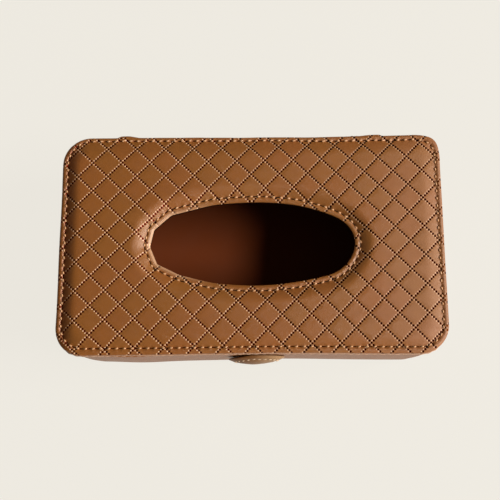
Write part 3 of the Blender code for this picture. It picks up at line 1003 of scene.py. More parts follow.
@dataclass(frozen=True)
class LeatherFinish:
    """Satin leather with a fine grain.

    A Change says where across the box a finish starts and ends to change, and its shares there. Some Changes
    and colours paint light and shade into the leather.
    """

    name: str
    colour: Colour
    dark: Colour
    red: Colour = (0.325, 0.098, 0.016)
    yellow: Colour = (0.292, 0.107, 0.012)
    # Painted shade: colours of the dark paint in the pits and the seam holes.
    pit: Colour = (0.100, 0.003, 0.0015)
    darkest_pit_shade: Colour = (0.026, 0.001, 0.0005)
    # Painted highlight colour: the beads beside the pits, the lip at the opening's left end and a slight
    # lightening towards the right.
    pale: Colour = (1.000, 0.640, 0.390)
    # Painted highlight colour of the ring to the right of each pit.
    rim: Colour = (0.600, 0.240, 0.060)
    # Painted shade colour of the turned-in leather under the lip.
    lip_underside_shade: Colour = (0.010, 0.005, 0.003)
    # Painted shade colour of the band inside the left seam, where the padding slopes away from the light.
    deep: Colour = (0.105, 0.017, 0.001)
    # Painted sheen: a paler colour blended in towards the right, where the light falls.
    painted_sheen: Colour | None = None
    roughness: float = 0.40
    roughness_spread: float = 0.03
    shine: float = 0.90
    shine_tint: Colour = (1.0, 0.89, 0.80)
    grain_depth: float = 0.00004
    quilted: bool = False
    painted_sheen_reach: Change = (-0.008, 0.020, 0.0, 0.62)
    dulls: Change = (0.072, 0.104, 0.0, 0.15)
    # Painted light: the leather is painted a little paler towards the right, where the light falls.
    painted_light_rightwards: Change = (-0.065, -0.010, 0.0, 0.009)
    # How the painted bead highlight weakens towards the right.
    bead_highlight_fade: Change = (-0.08, 0.10, 1.0, 0.58)
    # How much wider and darker the painted pit shade gets towards the right.
    pit_shade_spread: Change = (-0.08, 0.10, 1.0, 3.4)
    pit_shade_darkens: Change = (-0.09, 0.08, 0.0, 1.0)
    # Painted shade on the outer right rim, toning down its lit roll.
    right_rim_shade_spread: Change = (0.1145, 0.1172, 0.0, 0.40)
    # Where the painted shade inside the left seam starts and ends.
    left_trench_shade_spread: Change = (-0.1172, -0.1162, 0.20, 0.52)
    left_trench_shade_ends: Change = (-0.1152, -0.1085, 1.0, 0.0)
    hue_share: float = 0.28
    hollow_share: float = 1.2
    # How far Metallic keeps the sheen out of the painted shade on the turned-in lip and in the left trench.
    turned_in_dullness: float = 0.8
    left_trench_dullness: float = 0.75

    def material(self) -> Material:
        """Builds the material.

        Returns:
            The material.
        """
        material, bench, shader, place = start_material(self.name)
        across = bench.across(place)
        grain = group_node(bench, GRAIN, {"Vector": place, "Scale": 1.0}).outputs
        tint = bench.blend(bench.ease(grain["Patch"], 0.35, 0.70, 0.0, 0.5), self.colour, self.red)
        tint = bench.blend(bench.ease(grain["Mottle"], 0.40, 0.72, 0.0, 0.20), tint, self.dark)
        height = grain["Height"]
        least, most = self.roughness - self.roughness_spread, self.roughness + self.roughness_spread
        rough = bench.ease(grain["Mottle"], 0.2, 0.8, least, most)
        # Painted sheen, paler towards the right.
        if self.painted_sheen:
            tint = bench.blend(bench.ease(across, *self.painted_sheen_reach), tint, self.painted_sheen)
        if self.quilted:
            tint, height, hollow = self.add_quilting(bench, across, tint, height)
            # Metallic where shade is painted, so the dark painted colour keeps the sheen out.
            bench.feed(shader.inputs["Metallic"], hollow)
            rough = bench.plus(rough, bench.ease(across, *self.dulls))
        tint = bench.blend(bench.ease(grain["Height"], 0.1, 0.5, 0.30, 0.0), tint, self.dark)
        bench.feed(shader.inputs["Base Color"], tint)
        bench.feed(shader.inputs["Roughness"], rough)
        bench.feed(shader.inputs["Specular IOR Level"], self.shine)
        bench.feed(shader.inputs["Specular Tint"], self.shine_tint)
        add_bump(bench, shader, height, self.grain_depth)
        return material

    def add_quilting(self, bench: Bench, across: Source, tint: Source, height: Source) -> tuple[Source, ...]:
        """Colours the diamonds and paints light and shade into the quilted leather: its pits, beads, seam
        holes, lip and rims.

        Args:
            bench: The material's bench.
            across: How far across the box a place lies.
            tint: The colour so far.
            height: The grain so far.

        Returns:
            The new colour, the new height and how far each place lies in painted shade, where Metallic keeps
            the sheen out.
        """
        counted = bench.add("ShaderNodeAttribute", attribute_name="diamonds").outputs["Vector"]
        marks = QUILTING.marks(bench, counted)
        quilted = bench.painted("quilted")
        turned_in = bench.painted("turned_in")
        # Painted light: a little paler towards the right.
        tint = bench.blend(bench.ease(across, *self.painted_light_rightwards), tint, self.pale)
        hue = bench.blend(bench.ease(marks.diamond, 0.3, 0.7), self.red, self.yellow)
        tint = bench.blend(bench.times(quilted, self.hue_share), tint, hue)
        # Painted highlight: a lighter ring to the right of each pit.
        rim = bench.times(bench.ease(marks.rim, 0.10, 0.60, 0.0, 0.24), quilted)
        tint = bench.blend(rim, tint, self.rim)
        # Painted highlight on the bead left of each pit, weaker towards the right.
        bead = bench.times(bench.ease(marks.bead, 0.20, 0.65), quilted, bench.ease(across, *self.bead_highlight_fade))
        tint = bench.blend(bead, tint, self.pale)
        # Painted shade in the pits and in the seam holes, wider and darker towards the right.
        grown = bench.times(marks.pit, bench.ease(across, *self.pit_shade_spread))
        pit = bench.times(bench.ease(grown, 0.05, 0.26), quilted)
        pit = bench.most(pit, bench.ease(bench.painted("seam_hole"), 0.35, 0.80, 0.0, 0.92))
        inside = bench.blend(bench.ease(across, *self.pit_shade_darkens), self.pit, self.darkest_pit_shade)
        tint = bench.blend(pit, tint, inside)
        # Painted shade on the outer right rim.
        tint = bench.blend(bench.ease(across, *self.right_rim_shade_spread), tint, self.dark)
        # Painted shade in the band inside the left seam.
        left_rim = bench.ease(across, *self.left_trench_shade_spread)
        left_rim = bench.times(left_rim, bench.ease(across, *self.left_trench_shade_ends))
        tint = bench.blend(left_rim, tint, self.deep)
        # Painted highlight on the lip at the left end of the opening.
        tint = bench.blend(bench.ease(bench.painted("painted_lip_highlight"), 0.0, 0.8, 0.0, 0.36), tint, self.pale)
        # Painted shade: the turned-in leather under the lip is painted near black.
        tint = bench.blend(turned_in, tint, self.lip_underside_shade)
        turned_in = bench.times(turned_in, self.turned_in_dullness)
        # Where shade is painted: the pits, the seam holes, the turned-in lip and the left trench.
        dull = bench.most(pit, turned_in, bench.times(left_rim, self.left_trench_dullness))
        return tint, bench.minus(height, bench.times(pit, self.hollow_share)), dull


@dataclass(frozen=True)
class ClothFinish:
    """A woven or napped cloth."""

    name: str
    colour: Colour
    light: Colour
    across: float
    along: float
    depth: float
    roughness: float
    shine: float = 0.5

    def material(self) -> Material:
        """Builds the material.

        Returns:
            The material.
        """
        material, bench, shader, place = start_material(self.name)
        threads = {"Vector": place, "Threads Across": self.across, "Threads Along": self.along}
        weave = group_node(bench, WEAVE, threads).outputs
        shade = bench.times(weave["Height"], bench.ease(weave["Shade"], 0.3, 0.7, 0.55, 1.0))
        bench.feed(shader.inputs["Base Color"], bench.blend(shade, self.colour, self.light))
        bench.feed(shader.inputs["Roughness"], bench.ease(weave["Shade"], 0.3, 0.7, self.roughness, 1.0))
        bench.feed(shader.inputs["Specular IOR Level"], self.shine)
        add_bump(bench, shader, weave["Height"], self.depth)
        return material


@dataclass(frozen=True)
class SpeckFinish:
    """A plain finish broken up by fine specks: board, foam, steel or thread."""

    name: str
    colour: Colour
    speck: Colour
    scale: float
    depth: float
    roughness: float
    roughness_spread: float = 0.05
    metallic: float = 0.0
    stretch: Triple = (1.0, 1.0, 1.0)

    def material(self) -> Material:
        """Builds the material.

        Returns:
            The material.
        """
        material, bench, shader, place = start_material(self.name)
        turned = bench.add("ShaderNodeMapping", {"Vector": place, "Scale": self.stretch}).outputs[0]
        noise = bench.add("ShaderNodeTexNoise", {"Vector": turned, "Scale": self.scale, "Detail": 3.0})
        noise = noise.outputs[0]
        tint = bench.blend(bench.ease(noise, 0.38, 0.66), self.colour, self.speck)
        bench.feed(shader.inputs["Base Color"], tint)
        least, most = self.roughness - self.roughness_spread, self.roughness + self.roughness_spread
        bench.feed(shader.inputs["Roughness"], bench.ease(noise, 0.3, 0.7, least, most))
        bench.feed(shader.inputs["Metallic"], self.metallic)
        add_bump(bench, shader, noise, self.depth)
        return material


class Finishes:
    """All finishes of the holder, built once."""

    tan: Colour = (0.308, 0.102, 0.0145)
    brown: Colour = (0.180, 0.052, 0.006)

    def __init__(self) -> None:
        """Builds the leathers, the cloths and the plain finishes."""
        self.quilted = LeatherFinish("quilted_leather", self.tan, self.brown, quilted=True).material()
        self.plain = LeatherFinish(
            "plain_leather", self.tan, self.brown, roughness=0.45, shine=0.45, shine_tint=(1.0, 0.96, 0.90)
        ).material()
        self.polished = LeatherFinish(
            "polished_leather",
            (0.212, 0.080, 0.019),
            (0.104, 0.037, 0.009),
            red=(0.218, 0.076, 0.018),
            # Painted sheen on the tongue's right side.
            painted_sheen=(0.530, 0.335, 0.180),
            roughness=0.46,
            shine=0.12,
            shine_tint=(1.0, 0.90, 0.66),
        ).material()
        self.lining = ClothFinish(
            "napped_lining", (0.152, 0.029, 0.0038), (0.170, 0.033, 0.0045), 1500, 1500, 0.00002, 0.9, 0.30
        ).material()
        self.elastic = ClothFinish(
            "woven_elastic", (0.060, 0.028, 0.014), (0.130, 0.060, 0.030), 1100, 700, 0.00012, 0.8
        ).material()
        self.board = self.speck("pressed_board", (0.33, 0.30, 0.26), (0.22, 0.20, 0.17), 900, 0.00003, 0.9)
        self.foam = self.speck("open_foam", (0.72, 0.66, 0.50), (0.52, 0.46, 0.33), 2200, 0.0002, 0.95)
        self.steel = SpeckFinish(
            "plated_steel",
            (0.55, 0.55, 0.56),
            (0.48, 0.48, 0.50),
            500,
            0.000004,
            0.26,
            metallic=1.0,
            stretch=(1.0, 1.0, 9.0),
        ).material()
        thread = (1900, 0.00006, 0.48)
        self.thread = self.speck("waxed_thread", (0.74, 0.43, 0.22), (0.56, 0.27, 0.11), *thread)
        self.pale_thread = self.speck("pale_thread", (0.84, 0.62, 0.42), (0.64, 0.44, 0.26), *thread)
        # Pale cut edge: partly the leather's raw edge, partly a painted highlight line.
        self.raw_edge_highlight = self.speck("raw_edge_highlight", (0.62, 0.38, 0.25), (0.48, 0.28, 0.17), 1200, 0.00003, 0.60)

    @staticmethod
    def speck(name: str, colour: Colour, speck: Colour, *sizes: float) -> Material:
        """Builds a plain specked finish; the sizes are its scale, its depth and its roughness."""
        return SpeckFinish(name, colour, speck, *sizes).material()


# Stitches


@dataclass(frozen=True)
class Stitch:
    """Size of one stitch, how far it slants, and the space it takes along its row."""

    length: float = 0.0030
    width: float = 0.0008
    height: float = 0.0005
    slant: float = 0.20
    pitch: float = 0.0048

    def count(self, track: Array) -> int:
        """How many go round a closed track."""
        return round(track_length(track) / self.pitch)


class Sewing:
    """Sews rows of stitches with one shared Geometry Nodes tree.

    A stitch of the tree is a bead of few faces, wobbled a little in its slant.
    """

    segments = 8
    rings = 6
    wobble = 0.06

    def __init__(self) -> None:
        """Builds the tree that lays stitches along a track."""
        inputs = {
            "Track": "NodeSocketGeometry",
            "Stitches": 20,
            "Length": 0.0026,
            "Width": 0.0009,
            "Height": 0.0007,
            "Slant": 0.22,
            "Seed": 5,
            "Finish": "NodeSocketMaterial",
        }
        bench = start_group("stitch_row", inputs, ["Geometry"])
        self.tree = bench.tree
        source = bench.add("NodeGroupInput").outputs
        curve = bench.add("GeometryNodeMeshToCurve", {0: source["Track"]}).outputs[0]
        even = bench.add("GeometryNodeResampleCurve", {"Curve": curve, "Count": source["Stitches"]})
        size = {0: source["Length"], 1: source["Width"], 2: source["Height"]}
        size = bench.add("ShaderNodeCombineXYZ", size).outputs[0]
        shape = {"Segments": self.segments, "Rings": self.rings, "Radius": 0.5}
        bead = bench.add("GeometryNodeMeshUVSphere", shape).outputs[0]
        thread = bench.add("GeometryNodeTransform", {"Geometry": bead, "Scale": size})
        smooth = bench.add("GeometryNodeSetShadeSmooth", {0: thread.outputs[0]}).outputs[0]
        ahead = bench.add("GeometryNodeInputTangent").outputs[0]
        facing = {0: bench.kept("face_out", "FLOAT_VECTOR"), 1: ahead}
        axes = bench.add("FunctionNodeAxesToRotation", facing, primary_axis="Z", secondary_axis="X")
        chance = bench.add("FunctionNodeRandomValue", {"Seed": source["Seed"]}, data_type="FLOAT")
        limits = [socket for socket in chance.inputs if socket.type == "VALUE" and socket.enabled]
        bench.feed(limits[0], -self.wobble)
        bench.feed(limits[1], self.wobble)
        wobbled = next(socket for socket in chance.outputs if socket.type == "VALUE" and socket.enabled)
        angle = bench.add("ShaderNodeCombineXYZ", {2: bench.plus(source["Slant"], wobbled)}).outputs[0]
        slanted = bench.add("FunctionNodeEulerToRotation", {0: angle}).outputs[0]
        both = {0: axes.outputs[0], 1: slanted}
        turned = bench.add("FunctionNodeRotateRotation", both, rotation_space="LOCAL").outputs[0]
        laid = {"Points": even.outputs[0], "Instance": smooth, "Rotation": turned}
        placed = bench.add("GeometryNodeInstanceOnPoints", laid).outputs[0]
        bench.dress(placed, source["Finish"])

    def row(
        self,
        name: str,
        track: Array,
        facing: Array,
        stitch: Stitch,
        finish: Material,
        count: int | None = None,
    ) -> Piece:
        """Sews one row.

        Args:
            name: The piece's name.
            track: Places along the row.
            facing: The way out of the leather, one for all or one each.
            stitch: The stitch.
            finish: The thread.
            count: How many stitches an open row has, or None for a row that closes.

        Returns:
            The piece.
        """
        edges = [(step, step + 1) for step in range(len(track) - 1)]
        if count is None:
            edges.append((len(track) - 1, 0))
        mesh = bpy.data.meshes.new(name)
        mesh.from_pydata(track, edges, [])
        piece = bpy.data.objects.new(name, mesh)
        bpy.context.scene.collection.objects.link(piece)
        set_attribute(piece, "face_out", np.broadcast_to(facing, (len(track), 3)), "FLOAT_VECTOR")
        values = {
            "Stitches": count or stitch.count(track),
            "Length": stitch.length,
            "Width": stitch.width,
            "Height": stitch.height,
            "Slant": stitch.slant,
            "Finish": finish,
        }
        run_tree(piece, self.tree, values)
        return piece


# Top


@dataclass(frozen=True)
class Roll:
    """How the padded leather lies beside one of its edges, in metres."""

    rounding: float
    drop: float
    seam: float
    run: float
    even_share: float
    sink: float


@dataclass
class TopPanel:
    """The padded, quilted leather top with its rolled edge, skirt and oval opening.

    The sections are distances outwards and heights, from the padded field round to its underside. The
    near places are distances of the field's first points from each edge. Each strap bump starts at a
    place across, swells over a run, ends at a place, falls over a run before it, and has a rise.
    """

    finishes: Finishes
    sewing: Sewing
    edge: Roll = Roll(0.0030, 0.0015, 0.0034, 0.0100, 0.38, 0.0)
    lip: Roll = Roll(0.0032, 0.0021, 0.0035, 0.0106, 0.07, 0.0007)
    lip_bevel: float = 0.80
    lip_drop_end: float = 0.0010
    lip_change: Pair = (-0.040, 0.045)
    seam_depth: float = 0.0006
    edge_slope: float = 0.355
    lip_slope: float = 0.56
    right_lift: float = 0.0007
    right_ease: float = 0.42
    right_rise: Pair = (0.080, 0.110)
    near_places: Numbers = (0.0012, 0.0008, 0.00045, 0.0002, 0.00005)
    skirt_section: Section = (
        (0.0, 0.0662), (0.0, 0.0659), (0.0, 0.06555), (-0.0001, 0.06515),
        (-0.0004, 0.0650), (-0.0009, 0.0650), (-0.0012, 0.0652), (-0.0013, 0.0657),
        (-0.0013, HEIGHTS.underside),
    )
    lip_section: Section = (
        (0.0, 0.0646), (0.0001, 0.0642), (0.0002, 0.0637), (0.0003, 0.0629),
        (0.0003, 0.0616), (0.0006, HEIGHTS.lip), (0.0012, 0.0609), (0.0015, 0.0613),
        (0.0015, HEIGHTS.underside),
    )
    skirt_shown: int = 4
    lip_shown: int = 2
    outer: Loop = PLAN.loop(0.0009)
    opening: Loop = OPENING.loop(420)
    guide_points: tuple[int, int] = (1150, 500)
    guide_gap: float = 0.0005
    rim_gap: float = 0.00045
    field_start: float = 0.0012
    field_gap: float = 0.0007
    field_past: float = 0.002
    least_gap: float = 0.00024
    stitch: Stitch = Stitch(0.0021, 0.0011, 0.0011, pitch=0.00475)
    stitch_lift: float = 0.00022
    hole_length_share: float = 0.68
    hole_width: float = 0.00058
    hole_reach: float = 0.0015
    hole_slant: float = 0.45
    hole_softness: float = 0.6
    hole_start: float = 0.3
    quilting_start: float = -0.0002
    quilting_run: float = 0.0003
    strap_bumps: tuple[tuple[float, float, float, float, float], ...] = (
        (-0.0862, 0.0035, -0.0700, 0.0090, 0.0012),
        (0.0670, 0.0120, 0.0848, 0.0025, 0.0009),
    )
    bump_reach: float = 0.005
    bump_power: float = 1.5
    drift_reach: float = 0.016
    drift_power: float = 1.2
    side_start: float = 0.050
    side_run: float = 0.010
    seam_shift_reach: float = 0.0028
    front_seam_shift: float = 0.0009
    rear_seam_shift: float = 0.0010
    rear_shift_end: Pair = (0.010, 0.060)
    unevenness: Ripple = Ripple(0.055, 0.00015, 0.8)
    # Painted highlight on the opening's lip: how far from its edge it reaches, and where across it fades out.
    lip_highlight_reach: float = 0.0026
    lip_highlight_end: Pair = (-0.060, -0.012)
    welt_radius: float = 0.00045
    welt_height: float = 0.0646
    welt_hidden: float = -0.0010
    welt_shown: float = 0.0001
    welt_wave: float = 0.00015
    welt_start: float = 0.0600
    welt_fade: float = 0.0070
    welt_sides: int = 8
    welt_sharp: float = 80.0
    foam_edge: Section = (
        (-0.0026, 0.0659), (-0.0021, 0.0655), (-0.0020, 0.0650), (-0.0021, 0.0645), (-0.0026, 0.0642),
    )
    foam_lip: Section = (
        (0.0024, 0.0659), (0.0019, 0.0655), (0.0018, 0.0650), (0.0019, 0.0645), (0.0024, 0.0642),
    )
    foam_step: float = 0.004
    foam_points: int = 120
    cover_fill: float = 0.7
    foam_fill: float = 0.9

    def rolled(
        self,
        distance: Array,
        roll: Roll,
        bevel: Array | float,
        slope: Array | float,
        drop: Array | float,
    ) -> Array:
        """Height of the padded top beside an edge.

        Args:
            distance: Distances from the edge.
            roll: The sizes of the rolled edge.
            bevel: How much of the rounding is a plain slope.
            slope: How steeply the padding rises from the seam.
            drop: How far the rounding falls.

        Returns:
            The heights.
        """
        rise = np.clip(roll.rounding - distance, 0, roll.rounding)
        share = rise / roll.rounding
        edge = HEIGHTS.crest - drop * (bevel * share + (1 - bevel) * (1 - np.sqrt(1 - share**2)))
        dip = np.clip(1 - (roll.seam - distance) / (roll.seam - roll.rounding / 2), 0, 1)
        edge = edge - self.seam_depth * dip**2
        share = ramp(distance, roll.seam, roll.run)
        easing = 1 - roll.even_share
        over = np.maximum(share - roll.even_share, 0) / easing
        rise_share = np.minimum(share, roll.even_share) + easing * (over - 2 * over**3 / 3 + over**5 / 5)
        inner = HEIGHTS.seam + slope * roll.run * rise_share
        return np.where(distance < roll.seam, edge, inner) - roll.sink

    @staticmethod
    def rightwards(flat: Array, start: float, end: float) -> Array:
        """Share of the way from one place across to another, eased at both ends."""
        share = ramp(flat[:, 0], start, end - start)
        return share * share * (3 - 2 * share)

    def moved(self, places: Array) -> Array:
        """Pushes the rear edge out over the straps, and makes the outline a little uneven.

        Args:
            places: Plan places.

        Returns:
            The new plan places.
        """
        inset = PLAN.inset(places)
        near = np.clip(1 - inset / self.bump_reach, 0, 1) ** self.bump_power
        bump = np.zeros(len(places))
        for start, swelling, end, fall, rise in self.strap_bumps:
            swelled = self.rightwards(places, start, start + swelling)
            bump += rise * swelled * self.rightwards(places, end, end - fall)
        drifting = np.clip(1 - inset / self.drift_reach, 0, 1)[:, None] ** self.drift_power
        result = places + PLAN.drift(places) * drifting
        result[:, 1] += np.where(places[:, 1] > 0, bump * near, 0)
        beside_seam = swell(inset - self.edge.seam, self.seam_shift_reach)
        front = ramp(-places[:, 1], self.side_start, self.side_run)
        result[:, 1] += self.front_seam_shift * front * beside_seam
        rear = ramp(places[:, 1], self.side_start, self.side_run)
        rear = rear * (1 - self.rightwards(places, *self.rear_shift_end))
        result[:, 1] += self.rear_seam_shift * rear * beside_seam
        direction = places / np.maximum(np.linalg.norm(places, axis=1), 1e-6)[:, None]
        return result + direction * (self.unevenness.at(places) * near)[:, None]

    def unmoved(self, places: Array) -> Array:
        """Finds the plan places that are moved to given ones.

        Args:
            places: Where they end up.

        Returns:
            Where they start.
        """
        start = places.copy()
        for _ in range(6):
            start = start + places - self.moved(start)
        return start

    def build(self) -> None:
        """Builds the panel, its seams, its welt and its foam."""
        self.build_cover()
        self.build_seams()
        self.build_welt()
        self.build_foam()

    def build_cover(self) -> None:
        """Builds the quilted leather."""
        mesher = Mesher()
        outer_field = [(-distance, 0.0) for distance in self.near_places]
        lip_field = [(distance, 0.0) for distance in self.near_places]
        outer_rows = mesher.sweep(self.outer, (*outer_field, *self.skirt_section))
        lip_rows = mesher.sweep(self.opening, (*lip_field, *self.lip_section))
        guides = self.guides()
        inner = level(np.concatenate([guides, self.field(guides)]), 0.0)
        field_numbers = mesher.fill([outer_rows[0], lip_rows[0]], Lay.LEVEL, inner)
        mesher.fill([outer_rows[-1], lip_rows[-1]], Lay.LEVEL)
        piece = mesher.piece("quilted_top", self.finishes.quilted)
        padded_rows = len(self.near_places)
        top = np.zeros(len(piece.data.vertices), bool)
        top[np.concatenate([field_numbers, *outer_rows[:padded_rows], *lip_rows[:padded_rows]])] = True
        outside = top.copy()
        shown = outer_rows[padded_rows:][: self.skirt_shown] + lip_rows[padded_rows:][: self.lip_shown]
        outside[np.concatenate(shown)] = True
        turned_in = np.zeros(len(top), bool)
        turned_in[np.concatenate(lip_rows[padded_rows:])] = True
        set_attribute(piece, "outside", outside)
        set_attribute(piece, "turned_in", turned_in)
        self.shape(piece, top)
        run_tree(piece, QUILTING.tree(), {"Finish": self.finishes.quilted})
        piece.data.shade_smooth()
        hand_over(piece, Body.HOLDER, ["top_cover"])

    def guides(self) -> Array:
        """Even rows of points beside both edges and along both seams.

        Returns:
            Plan places.
        """
        start = self.field_start + self.rim_gap
        guides = [self.outer.moved(-start), self.opening.moved(start)]
        for offset in (-self.guide_gap, 0.0, self.guide_gap):
            guides.append(resample(self.outer.moved(-self.edge.seam - offset), self.guide_points[0]))
            guides.append(resample(self.opening.moved(self.lip.seam + offset), self.guide_points[1]))
        return np.concatenate(guides)

    def field(self, guides: Array) -> Array:
        """Points of the quilting's own rule, clear of the edges and of the guides.

        Args:
            guides: The guides.

        Returns:
            Plan places.
        """
        least = self.field_start + self.field_gap
        reach = (PLAN.width / 2 + self.field_past, PLAN.depth / 2 + self.field_past)
        places = self.unmoved(QUILTING.field_places(*reach))
        places = places[PLAN.inset(places) > least]
        far, _ = measure_from(self.opening.places, places)
        places = places[~encloses(self.opening.places, places) & (far > least)]
        taken = {(int(x), int(y)) for x, y in np.round(guides / self.least_gap)}
        cells = np.round(places / self.least_gap).astype(int)
        steps = [(across, along) for across in (-1, 0, 1) for along in (-1, 0, 1)]
        free = [all((x + across, y + along) not in taken for across, along in steps) for x, y in cells]
        return places[np.array(free)]

    def shape(self, piece: Piece, top: Array) -> None:
        """Lifts the flat field to the padded shape and stores what the quilting needs.

        Args:
            piece: The leather.
            top: Which points belong to the padded field.
        """
        mesh = piece.data
        places = np.empty(len(mesh.vertices) * 3)
        mesh.vertices.foreach_get("co", places)
        places = places.reshape(-1, 3)
        flat = places[:, :2]
        inset = PLAN.inset(flat)
        far, _ = measure_from(self.opening.places, flat)
        right = self.rightwards(flat, *self.right_rise)
        slope = self.edge_slope * (1 - self.right_ease * right)
        edge = self.rolled(inset, self.edge, 0.0, slope, self.edge.drop)
        towards = self.rightwards(flat, *self.lip_change)
        drop = self.lip.drop + (self.lip_drop_end - self.lip.drop) * towards
        lip = self.rolled(far, self.lip, self.lip_bevel * (1 - towards), self.lip_slope, drop)
        places[top, 2] = np.minimum(edge + self.right_lift * right, lip)[top]
        hole = self.seam_holes(flat, self.outer.moved(-self.edge.seam), inset, self.edge.seam)
        hole = np.maximum(hole, self.seam_holes(flat, self.opening.moved(self.lip.seam), far, self.lip.seam))
        # Painted highlight on the lip next to the opening's edge, fading out towards the right.
        worn = np.clip(1 - far / self.lip_highlight_reach, 0, 1) * (1 - self.rightwards(flat, *self.lip_highlight_end))
        from_seam = np.minimum(inset - self.edge.seam, far - self.lip.seam)
        set_attribute(piece, "fade", ramp(from_seam, 0, self.edge.run))
        set_attribute(piece, "seam_hole", np.where(top, hole, 0))
        quilted = ramp(np.minimum(inset, far), self.quilting_start, self.quilting_run)
        set_attribute(piece, "quilted", np.where(top, quilted, 0))
        set_attribute(piece, "painted_lip_highlight", np.where(top, worn, 0))
        places[:, :2] = self.moved(flat)
        set_attribute(piece, "diamonds", level(QUILTING.counts(places[:, :2]), 0.0), "FLOAT_VECTOR")
        mesh.vertices.foreach_set("co", places.ravel())
        mesh.update()

    def seam_holes(self, flat: Array, track: Array, distance: Array, seam: float) -> Array:
        """How deep a place lies in the slanted holes between the stitches of a seam.

        Args:
            flat: Plan places.
            track: The seam's track.
            distance: How far each place lies from the edge.
            seam: Where the seam runs.

        Returns:
            A share for each place.
        """
        result = np.zeros(len(flat))
        near = np.abs(distance - seam) < self.hole_reach
        _, run = measure_from(track, flat[near])
        off = distance[near] - seam
        turn = 2 * math.pi * self.stitch.count(track) * (run + self.hole_slant * off) / track_length(track)
        along = -np.cos(turn) - (1 - 2 * self.hole_length_share)
        lengthwise = np.clip(along / self.hole_softness + self.hole_start, 0, 1)
        result[near] = np.clip(1 - (off / self.hole_width) ** 2, 0, 1) * lengthwise
        return result

    def build_seams(self) -> None:
        """Lays the stitches of the edge seam and the opening seam."""
        plans = (
            ("edge_stitches", self.outer.moved(-self.edge.seam), self.edge, self.right_lift),
            ("opening_stitches", self.opening.moved(self.lip.seam), self.lip, 0.0),
        )
        for name, track, roll, lift in plans:
            flat = self.moved(track)
            raised = lift * self.rightwards(flat, *self.right_rise)
            height = HEIGHTS.seam + self.stitch_lift + raised - roll.sink
            track = np.column_stack([flat, height])
            up = np.array([0.0, 0.0, 1.0])
            piece = self.sewing.row(name, track, up, self.stitch, self.finishes.thread)
            hand_over(piece, Body.HOLDER)

    def build_welt(self) -> None:
        """Runs the pale cut edge of the top leather round under the skirt, where it shows at the front; its
        pale colour is partly a painted highlight line.
        """
        mesher = Mesher()
        front = ramp(-self.outer.places[:, 1], self.welt_start, self.welt_fade)
        turn = 2 * math.pi * self.stitch.count(self.outer.places) * np.arange(len(front)) / len(front)
        shown = (self.welt_shown - self.welt_hidden) * front
        middle = self.welt_hidden + shown + self.welt_wave * np.cos(turn)
        flat = self.moved(self.outer.places)
        rows = []
        for angle in np.linspace(0, 2 * math.pi, self.welt_sides, endpoint=False):
            reach = middle + self.welt_radius * math.cos(angle)
            height = self.welt_height + self.welt_radius * math.sin(angle)
            rows.append(mesher.row(level(flat + self.outer.outward * reach[:, None], height)))
        mesher.tube([*rows, rows[0]])
        piece = mesher.piece("cut_edge_highlight", self.finishes.raw_edge_highlight, self.welt_sharp)
        hand_over(piece, Body.HOLDER)

    def build_foam(self) -> None:
        """Makes the foam under the leather, with its edges worn round."""
        mesher = Mesher()
        outside = mesher.sweep(PLAN.loop(self.foam_step), self.foam_edge)
        inside = mesher.sweep(OPENING.loop(self.foam_points), self.foam_lip)
        mesher.fill([outside[0], inside[0]], Lay.LEVEL)
        mesher.fill([outside[-1], inside[-1]], Lay.LEVEL)
        piece = mesher.piece("top_padding", self.finishes.foam)
        hand_over(piece, Body.HOLDER, ["top_foam"])


# Walls


